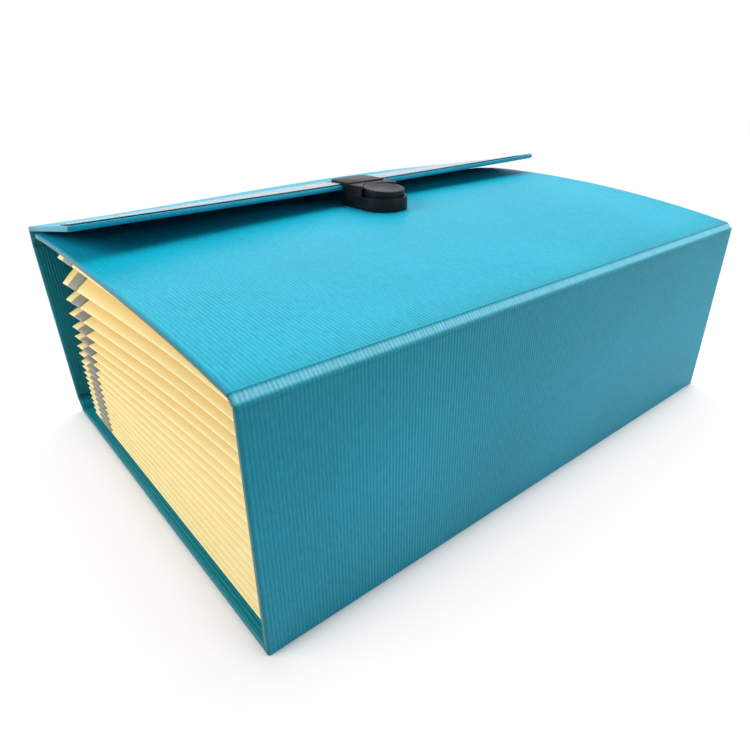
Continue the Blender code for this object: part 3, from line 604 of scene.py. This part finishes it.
FLAP_REACH = 0.094
FLAP_CREASE_Y, FLAP_CREASE_Z = 0.120915, 0.113961
FLAP_RISE_LEFT, FLAP_RISE_RIGHT = 0.0163, 0.0208
FLAP_LATCH_DIP = 0.0012
FLAP_BOW_LEFT, FLAP_BOW_RIGHT = 0.0024, 0.007
FLAP_OVERLAP = 0.00004
FLAP_MITRE = 0.00266
FLAP_DIP = 0.6
FLAP_PRESS_Z = 0.1142
FLAP_PRESS_SHADE = 0.25
FLAP_NEAR_STRETCH = 2.4


def flap_top(x, y):
    along = clamp(x / (2 * HALF_LENGTH) + 0.5)
    reach = (FLAP_CREASE_Y - y) / FLAP_REACH
    middle = math.sin(math.pi * along)
    rise = mix(FLAP_RISE_LEFT, FLAP_RISE_RIGHT, along) - FLAP_LATCH_DIP * middle
    bow = mix(FLAP_BOW_LEFT, FLAP_BOW_RIGHT, along) * middle
    return FLAP_CREASE_Z + rise * reach + bow * 4 * reach * (1 - reach)


def flap_outer(x, share):
    y = mix(flap_crease.x - FLAP_OVERLAP, flap_crease.x - FLAP_REACH, share)
    return Vector((y, flap_top(x, y) - dip(flap_crease.x - y) * FLAP_DIP))


def flap_inner(x, share):
    y = mix(flap_crease.x - FLAP_MITRE, flap_crease.x - FLAP_REACH, share)
    return Vector((y, flap_top(x, y) - BOARD))


near_shares = [share * FLAP_NEAR_STRETCH for share in NEAR_SHARES]
flap_shares = [*near_shares, *spread(0.12, 0.88, 7), 0.975, 0.986, 1]
# Painted shade along the pressed line beside the flap's crease.
flap_crease_shade = (flap_crease.x - PRESS_PLACE, FLAP_PRESS_Z, PRESS_WIDTH, FLAP_PRESS_SHADE)
add_board(
    "ribbed_closing_flap", "closing_flap", "flap", flap_outer, flap_inner, flap_shares,
    rolls=(TIGHT_ROLL, MOST_ROLL), crease_shades=[flap_crease_shade],
)

# ---- Pocket sheets: two outer sheets and 18 dividers of cream card with stepped index tabs. They
# are evenly spaced at the bottom of the pockets and squeezed low down at the mouth, and the
# upper ones follow the crown of the cover. Each turns about its own bottom edge.

POCKETS = 19
DIVIDERS = POCKETS - 1
HINGE_Y = SPINE_Y + 0.007875
MOUTH_Y = SPINE_Y + 0.218
SHEET_OFF_BOARD = 0.003275

# How the sheets share the height at the mouth, and how fast the crown fades in the lower ones.
TIGHT_SHARE, GAPE_SHARE, GAPE_POWER = 0.57, 0.43, 5.4
BULGE_POWER = 4

SHEET_HALF = 0.150025
SHEET_GAP = 0.000475
SHEET_THICK = 0.00035
SHEET_COLUMNS, SHEET_ROWS = 36, 16
TAB_HEIGHT = 0.008
TAB_CORNER, TAB_STEPS = 0.002, 4
TAB_GAP = 0.0024
TAB_CLEAR = 0.003
CREAM_DARK, CREAM_LIGHT = (0.90, 0.76, 0.35), (0.94, 0.80, 0.40)
# Painted shade deep in a fold and a painted highlight along its nose.
CREAM_SHADED, CREAM_HIGHLIGHT = (0.76, 0.54, 0.21), (0.97, 0.90, 0.6)


def make_card_material(name, low, high):
    """Card with faint fibres and a slightly mottled colour. Its layer holds, per point, a painted
    highlight along a fold's nose in red, and painted shade where it lies deep under the next one in
    green.
    """
    material, tree, shader = start_material(name, high, roughness=0.85)
    painted_light = read_painted_light(tree)
    colour = add_ramp(tree, add_noise(tree, scale=60, detail=4), low, high)
    # Painted shade deep in the fold, then a painted highlight at its nose.
    shaded = mix_colour(tree, painted_light["Green"], colour, CREAM_SHADED)
    highlighted = mix_colour(tree, painted_light["Red"], shaded, CREAM_HIGHLIGHT)
    tree.links.new(highlighted, shader.inputs["Base Color"])
    fibres = add_noise(tree, scale=1, detail=3, stretch=(2600, 700, 2600))
    add_bump(tree, fibres, shader, strength=0.12, distance=0.0001)
    shader.inputs["Specular IOR Level"].default_value = 0.2
    return material


cream_card = make_card_material("cream_card", CREAM_DARK, CREAM_LIGHT)


def towards_mouth(y):
    return clamp((y - HINGE_Y) / (MOUTH_Y - HINGE_Y))


def stack_height(level, x, y):
    """Height of the sheet at this level, from 0 on the back cover to 1 under the front cover."""
    ceiling = cover_top(-HALF_LENGTH, y) - SHEET_OFF_BOARD
    gape = TIGHT_SHARE * level + GAPE_SHARE * level ** GAPE_POWER
    bulge = cover_top(x, y) - cover_top(-HALF_LENGTH, y)
    share = mix(level, gape, towards_mouth(y))
    return mix(SHEET_OFF_BOARD, ceiling, share) + bulge * level ** BULGE_POWER


def thicken(piece, thick):
    shell = piece.modifiers.new("thickness", "SOLIDIFY")
    shell.thickness = thick
    shell.offset = 0


def add_sheet(name, node, body, level, tab=None):
    """A pocket sheet on its body; tab is the two ends of its index tab in x."""
    xs = spread(-SHEET_HALF, SHEET_HALF, SHEET_COLUMNS)
    ys = spread(HINGE_Y + SHEET_GAP, MOUTH_Y, SHEET_ROWS)
    bm = bmesh.new()
    if tab:
        clear = [x for x in xs if not tab[0] - TAB_CLEAR < x < tab[1] + TAB_CLEAR]
        xs = sorted(clear + list(tab))
    rows = [[bm.verts.new((x, y, stack_height(level, x, y))) for y in ys] for x in xs]
    skin(bm, rows, turned_over=True)
    if tab:
        corner_y = MOUTH_Y + TAB_HEIGHT - TAB_CORNER
        outline = []
        for centre, start in ((tab[1] - TAB_CORNER, 0), (tab[0] + TAB_CORNER, 90)):
            for degrees in spread(start, start + 90, TAB_STEPS):
                angle = math.radians(degrees)
                x = centre + TAB_CORNER * math.cos(angle)
                y = corner_y + TAB_CORNER * math.sin(angle)
                outline.append(bm.verts.new((x, y, stack_height(level, x, MOUTH_Y))))
        bm.faces.new([rows[xs.index(tab[0])][-1], rows[xs.index(tab[1])][-1]] + outline)
    sheet = add_piece(name, bm, cream_card, body)
    thicken(sheet, SHEET_THICK)
    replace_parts(sheet, node)


add_sheet("card_back_sheet", "back_sheet", "case", 0)
add_sheet("card_front_sheet", "front_sheet", "front_cover", 1)
tab_pitch = (2 * SHEET_HALF - TAB_GAP) / DIVIDERS
for number in range(1, DIVIDERS + 1):
    place = -SHEET_HALF + TAB_GAP + tab_pitch * (number - 0.5)
    tab = (place - (tab_pitch - TAB_GAP) / 2, place + (tab_pitch - TAB_GAP) / 2)
    name = f"divider_{number:02d}"
    add_sheet(f"card_{name}", name, name, number / POCKETS, tab)

# ---- Pleated sides: one folded V of cream card to a pocket, glued to the sheets below and above
# it, with a cap of woven grey tape over each fold near the mouth. Each fold sags off the middle
# between its sheets, more so near the bottom spine.

# How far each pocket's fold stands off the middle at its two ends, from the lowest pocket up.
MM = 0.001
SAG_NEAR_MM = (
    -1.5, -1.8, -2.6, -2.4, -2.6, -2.8, -3.1, -2.6, -2.9, -2.6,
    -1.4, -1.5, -1.4, 0.3, 0.0, 0.6, 0.7, 1.4, 0.3,
)
SAG_MOUTH_MM = (
    0, 0, 0, 0, 0, 0, 0, 0, 0, 0.3, -0.5, 0.4, 0.2, 0.6, 0, 0.2, -0.7, -2.4, -1.6,
)

# Points along a leaf, as shares of it, and its painted highlight and painted shade from nose to
# root.
FOLD_PARTS = (0, 0.3, 0.6, 0.85, 0.95, 1)
FOLD_HIGHLIGHT = (0.25, 0.25, 0.2, 0.1, 0, 0, 0)
FOLD_SHADE = (0, 0, 0.06, 0.35, 0.75, 1, 1)

# A leaf's length, where it is glued, how far it bows, and how its nose is set back and flattened.
LEAF = 0.0105
TOP_LEAF_MORE = 0.001
LEAF_ROOT = 0.1505
LEAF_BOW = 0.00022
NOSE_BACK = 0.0003
NOSE_CHAMFER = 0.0002
PLEAT_THICK = 0.0003
PLEAT_ROWS = 26

# Gaps at the bottom spine and the narrow crease, and how far the lower pleats sit back at the
# mouth.
SPINE_CLEAR = 0.0031
CREASE_CLEAR = 0.00345
MOUTH_SET_BACK = 0.003
SET_BACK_POCKETS = 9

# The tape's edges from the pleat's mouth end, its height off the card, and its ends' share cut off.
TAPE_FROM, TAPE_TO = 0.0302, 0.012
TAPE_LIFT = 0.00026
TAPE_TRIM = 0.12
TAPE_THICK = 0.00016
TAPE_ROWS = 4

TAPE_START = (0.2, 0.19, 0.15)
TAPE_DARK, TAPE_LIGHT = (0.21, 0.205, 0.16), (0.28, 0.27, 0.215)
# Painted highlight along the tape's fold.
TAPE_HIGHLIGHT = (0.62, 0.62, 0.6)


def make_tape_material():
    """Woven reinforcing tape, grey with an olive cast, with a painted highlight where it passes a
    fold.
    """
    material, tree, shader = start_material("woven_grey_tape", TAPE_START, roughness=0.75)
    place = add_node(tree, "ShaderNodeTexCoord").outputs["Object"]
    threads = []
    for direction in ("X", "Y"):
        inputs = {"Vector": place, "Scale": 520, "Distortion": 0.8}
        wave = add_node(tree, "ShaderNodeTexWave", inputs, bands_direction=direction)
        threads.append(wave.outputs["Fac"])
    weave = work_out(tree, "MULTIPLY", *threads)
    colour = add_ramp(tree, weave, TAPE_DARK, TAPE_LIGHT, from_low=0, from_high=0.8)
    highlighted = mix_colour(tree, read_painted_light(tree)["Red"], colour, TAPE_HIGHLIGHT)
    tree.links.new(highlighted, shader.inputs["Base Color"])
    add_bump(tree, weave, shader, strength=0.15, distance=0.00006)
    return material


grey_tape = make_tape_material()


def fold_points(side, pocket, y, lift, trim):
    """(x, z) points of one folded V, lifted off its outer face, its two ends cut back by trim."""
    edge = side * HALF_LENGTH
    low = stack_height(pocket / POCKETS, edge, y)
    high = stack_height((pocket + 1) / POCKETS, edge, y)
    climb = (high - low) / 2
    mouth = towards_mouth(y)
    sag = mix(SAG_NEAR_MM[pocket], SAG_MOUTH_MM[pocket], mouth) * MM
    leaf = LEAF + TOP_LEAF_MORE * (pocket / DIVIDERS) ** 4 * mouth
    run = math.sqrt(leaf ** 2 - climb ** 2)
    middle = (low + high) / 2 + sag
    tip = LEAF_ROOT + run - NOSE_BACK
    points = []
    for root, way in ((low, 1), (high, -1)):
        slope = Vector((run, middle - root)).normalized()
        normal = Vector((slope.y, -slope.x)) * way
        face = []
        for part in FOLD_PARTS:
            along = mix(trim, 1, part)
            bow = LEAF_BOW * math.sin(math.pi * along)
            spot = Vector((mix(LEAF_ROOT, tip - NOSE_CHAMFER, along), mix(root, middle, along)))
            spot += Vector((0, way * NOSE_CHAMFER * (1 - 2 * along))) + normal * (lift + bow)
            face.append((side * spot.x, spot.y))
        points.append(face)
    return points[0] + [(side * (tip + lift), middle)] + points[1][::-1]


def near_end(height):
    """Where a leaf at this height starts, clear of the bottom spine and the narrow crease."""
    slant = math.sqrt(2) * CREASE_CLEAR
    return SPINE_Y + max(SPINE_CLEAR, height - BOTTOM_SPINE_HEIGHT + slant)


def add_fold(name, side, pocket, y_rows, lift, trim, thick, material):
    bm = bmesh.new()
    painted_light = bm.verts.layers.float_color.new("painted_light")
    rows = []
    for row_ys in y_rows:
        row = []
        for index, y in enumerate(row_ys):
            x, z = fold_points(side, pocket, y, lift, trim)[index]
            vert = bm.verts.new((x, y, z))
            # Painted highlight at the nose and painted shade towards the root.
            past = abs(index - len(FOLD_PARTS))
            vert[painted_light] = (FOLD_HIGHLIGHT[past], FOLD_SHADE[past], 0, 1)
            row.append(vert)
        rows.append(row)
    skin(bm, rows)
    fold = add_piece(name, bm, material)
    thicken(fold, thick)
    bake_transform(fold)
    return fold


for side, hand in ((-1, "left"), (1, "right")):
    for pocket in range(POCKETS):
        starts = [near_end(z) for x, z in fold_points(side, pocket, HINGE_Y, 0, 0)]
        mouth = MOUTH_Y - MOUTH_SET_BACK * max(1 - pocket / SET_BACK_POCKETS, 0)
        shares = spread(0, 1, PLEAT_ROWS)
        y_rows = [[mix(start, mouth, share) for start in starts] for share in shares]
        pleat = add_fold(
            f"{hand}_pleat_{pocket + 1:02d}", side, pocket, y_rows, 0, 0, PLEAT_THICK,
            cream_card,
        )
        tape_ys = spread(mouth - TAPE_FROM, mouth - TAPE_TO, TAPE_ROWS)
        cap = add_fold(
            f"{hand}_tape_{pocket + 1:02d}", side, pocket, [[y] * len(starts) for y in tape_ys],
            TAPE_LIFT, TAPE_TRIM, TAPE_THICK, grey_tape,
        )
        if pocket == 0:
            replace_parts(pleat, f"{hand}_gusset")
            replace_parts(cap, f"{hand}_gusset_tape")

# ---- Bottom pleats: the folded strip of the same card that closes the pockets inside the bottom
# spine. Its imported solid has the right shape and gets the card's surface.


def dress_node(node, material):
    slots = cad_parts[node].data.materials
    slots.clear()
    slots.append(material)


dress_node("bottom_gusset", cream_card)

# ---- Index label: a strip of pale card with a dark printed outline along the flap's free edge,
# held under a strip of clear film. Both are notched round the clasp's plate.

LABEL_NEAR, LABEL_FAR = 0.027915, 0.043915
LABEL_HALF = HALF_LENGTH - 0.001
LABEL_NOTCH = 0.014
LABEL_BEHIND_CLASP = 0.0422
LABEL_OUTLINE = 0.0007
LABEL_ROWS = (LABEL_NEAR + 0.003, LABEL_FAR - 0.004, 5)
LABEL_COLUMNS, LABEL_NOTCH_COLUMNS = 24, 4
WELD = 0.00002
LABEL_DARK, LABEL_LIGHT = (0.30, 0.35, 0.40), (0.33, 0.38, 0.43)
FILM_CLEAR = (0.95, 0.96, 0.98)
INK_DARK, INK_LIGHT = (0.03, 0.05, 0.07), (0.04, 0.06, 0.08)
CARD_LIFT, CARD_THICK = 0.0004, 0.0002
FILM_LIFT, FILM_THICK = 0.0008, 0.00012


def make_dark_material(name, low, high, roughness):
    """A dark, even surface with a fine grain, as of printing ink or of moulded plastic."""
    material, tree, shader = start_material(name, low, roughness)
    grain = add_noise(tree, scale=2600, detail=2)
    tree.links.new(add_ramp(tree, grain, low, high), shader.inputs["Base Color"])
    clouds = add_noise(tree, scale=160, detail=3)
    shine = add_ramp(tree, clouds, grey(roughness - 0.05), grey(roughness + 0.06))
    tree.links.new(shine, shader.inputs["Roughness"])
    add_bump(tree, grain, shader, strength=0.12, distance=0.00006)
    shader.inputs["Specular IOR Level"].default_value = 0.13
    return material


label_card = make_card_material("label_card", LABEL_DARK, LABEL_LIGHT)
label_ink = make_dark_material("label_outline", INK_DARK, INK_LIGHT, roughness=0.5)
film, tree, shader = start_material("label_film", FILM_CLEAR, roughness=0.34)
shader.inputs["Alpha"].default_value = 0.1
shader.inputs["Specular IOR Level"].default_value = 0.2
dulled = add_ramp(tree, add_noise(tree, scale=90, detail=2), grey(0.28), grey(0.4))
tree.links.new(dulled, shader.inputs["Roughness"])


def add_label(name, node, lift, thick, material, outline_material):
    """A strip in three lengths, the middle one narrower where the clasp's plate lies."""
    bm = bmesh.new()

    def lay(xs, ys):
        rows = [[bm.verts.new((x, y, flap_top(x, y) + lift)) for y in ys] for x in xs]
        return skin(bm, rows, turned_over=True)

    far_ys = [LABEL_BEHIND_CLASP, LABEL_FAR - LABEL_OUTLINE, LABEL_FAR]
    ys = [LABEL_NEAR, LABEL_NEAR + LABEL_OUTLINE, *spread(*LABEL_ROWS), *far_ys]
    xs = spread(LABEL_NOTCH, LABEL_HALF, LABEL_COLUMNS)
    xs = [xs[0], xs[0] + LABEL_OUTLINE] + xs[1:-1] + [xs[-1] - LABEL_OUTLINE, xs[-1]]
    for side in (-1, 1):
        for place, face in enumerate(lay([side * x for x in xs], ys)):
            column, row = divmod(place, len(ys) - 1)
            on_rim = column in (0, len(xs) - 2) or row in (0, len(ys) - 2)
            face.material_index = int(on_rim)
    notch_xs = spread(-LABEL_NOTCH, LABEL_NOTCH, LABEL_NOTCH_COLUMNS)
    for place, face in enumerate(lay(notch_xs, far_ys)):
        face.material_index = place % 2
    bmesh.ops.remove_doubles(bm, verts=bm.verts[:], dist=WELD)
    label = add_piece(name, bm, material, "flap")
    label.data.materials.append(outline_material)
    thicken(label, thick)
    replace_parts(label, node)


add_label("label_card", "index_card", CARD_LIFT, CARD_THICK, label_card, label_ink)
add_label("label_film", "index_film", FILM_LIFT, FILM_THICK, film, film)

# ---- Clasp moulding: one piece of black plastic with a ring for the button, a neck, and a plate
# over the flap's edge, hollow under the ring for the spring and the catch. It is riveted
# through the flap.

RING_CENTRE = Vector((0, SPINE_Y + 0.129297, 0))
CLASP_REAR = SPINE_Y + 0.164997
CLASP_HALF = 0.0137
CLASP_CORNER = 0.005
RING_LOW = 0.114
RIM_Z = 0.1267832
WEB_Z = 0.1243832
WEB_THICK = 0.0012
WELL_RADIUS = 0.01215
SOCKET_RADIUS = 0.0104
NECK_FRONT, NECK_INSET = RING_CENTRE.y + 0.004, 0.00008
NECK_LOW, NECK_HIGH = 0.119, 0.132311
PLATE_FRONT, PLATE_INSET = SPINE_Y + 0.145347, 0.00016
PLATE_LOW, PLATE_HIGH = 0.1316, 0.133011
UNDER_PLATE_FRONT = SPINE_Y + 0.150047
PIN_X, PIN_Y = 0.0075, SPINE_Y + 0.157672
PIN_RADIUS = 0.0018
PIN_HEAD = 0.0013
FRONT_STEPS, CORNER_STEPS, BORE_STEPS, PIN_STEPS = 48, 8, 72, 24
OUTER_EDGE_RADIUS = 0.0124
EDGE_ROUND = 0.0004
PLASTIC_DARK, PLASTIC_LIGHT = (0.004, 0.006, 0.008), (0.008, 0.011, 0.014)

# Edges bent more than the first are rounded, and those bent less than the second shaded smooth.
SHARP_DEGREES, SMOOTH_DEGREES = 50, 35

# How far the cutters reach past the moulding, and how deep the two curved ones go.
CUTTER_HALF, CUTTER_LIFT = 0.02, 0.0003
CUTTER_COLUMNS, CUTTER_ROWS = 8, 10
CUTTER_FAR = CLASP_REAR + 0.005
COVER_CUT, FLAP_CUT = 0.01, 0.02
WELL_TOP, SOCKET_LOW, PIN_LOW = 0.14, 0.105, 0.12

black_plastic = make_dark_material("black_plastic", PLASTIC_DARK, PLASTIC_LIGHT, roughness=0.34)


def outline_block(name, outline, low, high):
    """A block with this outline in x and y, from low to high."""
    bm = bmesh.new()
    face = bm.faces.new([bm.verts.new((x, y, low)) for x, y in outline])
    drawn = bmesh.ops.extrude_face_region(bm, geom=[face])["geom"]
    moved = [item for item in drawn if isinstance(item, bmesh.types.BMVert)]
    bmesh.ops.translate(bm, verts=moved, vec=(0, 0, high - low))
    return add_piece(name, bm, black_plastic, smooth=False)


def plan(half, near, far, round_front=False):
    """Outline with round far corners, and with a half circle or a straight edge in front."""
    outline = [(-half, near), (half, near)]
    if round_front:
        angles = spread(math.pi, 2 * math.pi, FRONT_STEPS)
        outline = [(half * math.cos(a), near + half * math.sin(a)) for a in angles]
    for side, start in ((1, 0), (-1, 90)):
        for degrees in spread(start, start + 90, CORNER_STEPS):
            angle = math.radians(degrees)
            x = side * (half - CLASP_CORNER) + CLASP_CORNER * math.cos(angle)
            outline.append((x, far - CLASP_CORNER + CLASP_CORNER * math.sin(angle)))
    return outline


def disc(radius, centre, steps=BORE_STEPS):
    """Outline of a round hole."""
    angles = [2 * math.pi * step / steps for step in range(steps)]
    return [(centre.x + radius * math.cos(a), centre.y + radius * math.sin(a)) for a in angles]


def surface_block(name, surface, near, far, thick):
    """A cutter whose upper face lies just over a curved panel."""
    bm = bmesh.new()
    xs = spread(-CUTTER_HALF, CUTTER_HALF, CUTTER_COLUMNS)
    ys = spread(near, far, CUTTER_ROWS)
    top = [[bm.verts.new((x, y, surface(x, y) + CUTTER_LIFT)) for y in ys] for x in xs]
    low = [[bm.verts.new((x, y, surface(x, y) - thick)) for y in ys] for x in xs]
    skin(bm, top, turned_over=True)
    skin(bm, low)
    for end in (0, -1):
        skin(bm, [top[end], low[end]])
        skin(bm, [[row[end] for row in top], [row[end] for row in low]])
    bmesh.ops.triangulate(bm, faces=bm.faces[:])
    return add_piece(name, bm, black_plastic, smooth=False)


housing = outline_block(
    "clasp_moulding", plan(CLASP_HALF, RING_CENTRE.y, CLASP_REAR, round_front=True),
    RING_LOW, RIM_Z,
)
steps = []
for name, front, inset, low, high in (
    ("neck", NECK_FRONT, NECK_INSET, NECK_LOW, NECK_HIGH),
    ("plate", PLATE_FRONT, PLATE_INSET, PLATE_LOW, PLATE_HIGH),
):
    block = outline_block(name, plan(CLASP_HALF - inset, front, CLASP_REAR - inset), low, high)
    steps.append((block, "UNION"))
for cutter in (
    surface_block("over_cover", cover_top, RING_CENTRE.y - CUTTER_HALF, CUTTER_FAR, COVER_CUT),
    surface_block("over_flap", flap_top, UNDER_PLATE_FRONT, CUTTER_FAR, FLAP_CUT),
    outline_block("well", disc(WELL_RADIUS, RING_CENTRE), WEB_Z, WELL_TOP),
    outline_block("socket", disc(SOCKET_RADIUS, RING_CENTRE), SOCKET_LOW, WEB_Z - WEB_THICK),
):
    steps.append((cutter, "DIFFERENCE"))
for side in (-1, 1):
    spot = Vector((side * PIN_X, PIN_Y, 0))
    head_top = flap_top(spot.x, spot.y) + PIN_HEAD
    pin = outline_block(f"pin_{side}", disc(PIN_RADIUS, spot, PIN_STEPS), PIN_LOW, head_top)
    steps.append((pin, "DIFFERENCE"))
for block, operation in steps:
    cut = housing.modifiers.new(block.name, "BOOLEAN")
    cut.operation = operation
    cut.solver = "EXACT"
    cut.object = block
moulded = housing.evaluated_get(bpy.context.evaluated_depsgraph_get())
moulded_mesh = bpy.data.meshes.new_from_object(moulded)
housing.modifiers.clear()
housing.data = moulded_mesh
for block, operation in steps:
    bpy.data.objects.remove(block)

bm = bmesh.new()
bm.from_mesh(housing.data)
bmesh.ops.dissolve_limit(bm, angle_limit=0.01, verts=bm.verts[:], edges=bm.edges[:])
rims = []
for edge in bm.edges:
    middle = (edge.verts[0].co + edge.verts[1].co) / 2
    outer = Vector((middle.x, middle.y - RING_CENTRE.y)).length > OUTER_EDGE_RADIUS
    if outer and edge.calc_face_angle(0) > math.radians(SHARP_DEGREES):
        rims.append(edge)
bmesh.ops.bevel(
    bm, geom=rims, offset=EDGE_ROUND, segments=3, profile=0.5, affect="EDGES", material=-1,
    clamp_overlap=True,
)
bm.to_mesh(housing.data)
bm.free()
housing.data.shade_smooth()
housing.data.set_sharp_from_angle(angle=math.radians(SMOOTH_DEGREES))
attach(housing, "flap")
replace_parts(housing, "clasp_housing")

# ---- Push button: a round black cap with a rolled rim and a hollow stem, turned from its
# profile. Its top slopes up towards the neck, and it slides in the ring on the return spring.

# The cap's radius with its rolled rim, and its face, which is dished inside a fine lip.
BUTTON_RADIUS = 0.012
UNDER_RADIUS, UNDER_RISE = 0.0118, 0.0002
ROLL_CENTRE, ROLL_RADIUS = 0.0116, 0.0004
ROLL_DEGREES = (0, 22, 45, 68, 90)
LIP_RADIUS = 0.0098
FACE_RADIUS, FACE_EDGE_DROP, FACE_DROP = 0.0092, 0.00012, 0.00016

# The levels of the cap, of the recess under it and of the stem, and the slope of its top.
CAP_LOW = RIM_Z + 0.0008
CAP_HIGH = CAP_LOW + 0.0025
RECESS_RADIUS = 0.006
RECESS_TOP = CAP_LOW + 0.0012
STEM_INNER, STEM_OUTER = 0.0099, 0.0113
STEM_LOW = WEB_Z + 0.0018
SLOPE_FROM, SLOPE = CAP_LOW + 0.0013, 0.0011

SPIN_STEPS = 96
SPIN_WELD = 0.000004
RIM_DEGREES = 40

rolled_rim = []
for degrees in ROLL_DEGREES:
    angle = math.radians(degrees)
    out = ROLL_CENTRE + ROLL_RADIUS * math.cos(angle)
    rolled_rim.append((out, CAP_HIGH - ROLL_RADIUS + ROLL_RADIUS * math.sin(angle)))
profile = [
    (0, RECESS_TOP), (RECESS_RADIUS, RECESS_TOP), (RECESS_RADIUS, CAP_LOW),
    (STEM_INNER, CAP_LOW), (STEM_INNER, STEM_LOW), (STEM_OUTER, STEM_LOW), (STEM_OUTER, CAP_LOW),
    (UNDER_RADIUS, CAP_LOW), (BUTTON_RADIUS, CAP_LOW + UNDER_RISE), *rolled_rim,
    (LIP_RADIUS, CAP_HIGH), (FACE_RADIUS, CAP_HIGH - FACE_EDGE_DROP), (0, CAP_HIGH - FACE_DROP),
]
bm = bmesh.new()
points = [bm.verts.new((RING_CENTRE.x + out, RING_CENTRE.y, z)) for out, z in profile]
edges = [bm.edges.new(pair) for pair in zip(points, points[1:] + points[:1])]
bmesh.ops.spin(
    bm, geom=points + edges, cent=RING_CENTRE, axis=(0, 0, 1), angle=2 * math.pi,
    steps=SPIN_STEPS, use_merge=True,
)
bmesh.ops.remove_doubles(bm, verts=bm.verts[:], dist=SPIN_WELD)
loose = [edge for edge in bm.edges if not edge.link_faces]
bmesh.ops.delete(bm, geom=loose, context="EDGES")
button = add_piece("clasp_push_button", bm, black_plastic, "button")
button.data.set_sharp_from_angle(angle=math.radians(RIM_DEGREES))
for vert in button.data.vertices:
    if vert.co.z > SLOPE_FROM:
        vert.co.z += SLOPE * ((vert.co.y - RING_CENTRE.y) / BUTTON_RADIUS + 1)
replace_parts(button, "clasp_button")

# ---- Fittings inside the clasp: the steel catch, return spring, under plate and rivets, and the
# black strike stud on the front cover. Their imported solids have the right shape.

STEEL_COLOUR = (0.62, 0.61, 0.58)


def make_steel_material():
    """Bright plated steel with faint drawing marks."""
    material, tree, shader = start_material(
        "plated_steel", STEEL_COLOUR, roughness=0.28, metallic=1.0
    )
    marks = add_noise(tree, scale=1, detail=2, stretch=(400, 4000, 4000))
    shine = add_ramp(tree, marks, grey(0.22), grey(0.38))
    tree.links.new(shine, shader.inputs["Roughness"])
    return material


plated_steel = make_steel_material()
for node in (
    "catch_clip", "clasp_spring", "clasp_under_plate", "clasp_rivet_left", "clasp_rivet_right",
):
    dress_node(node, plated_steel)
dress_node("strike_stud", black_plastic)
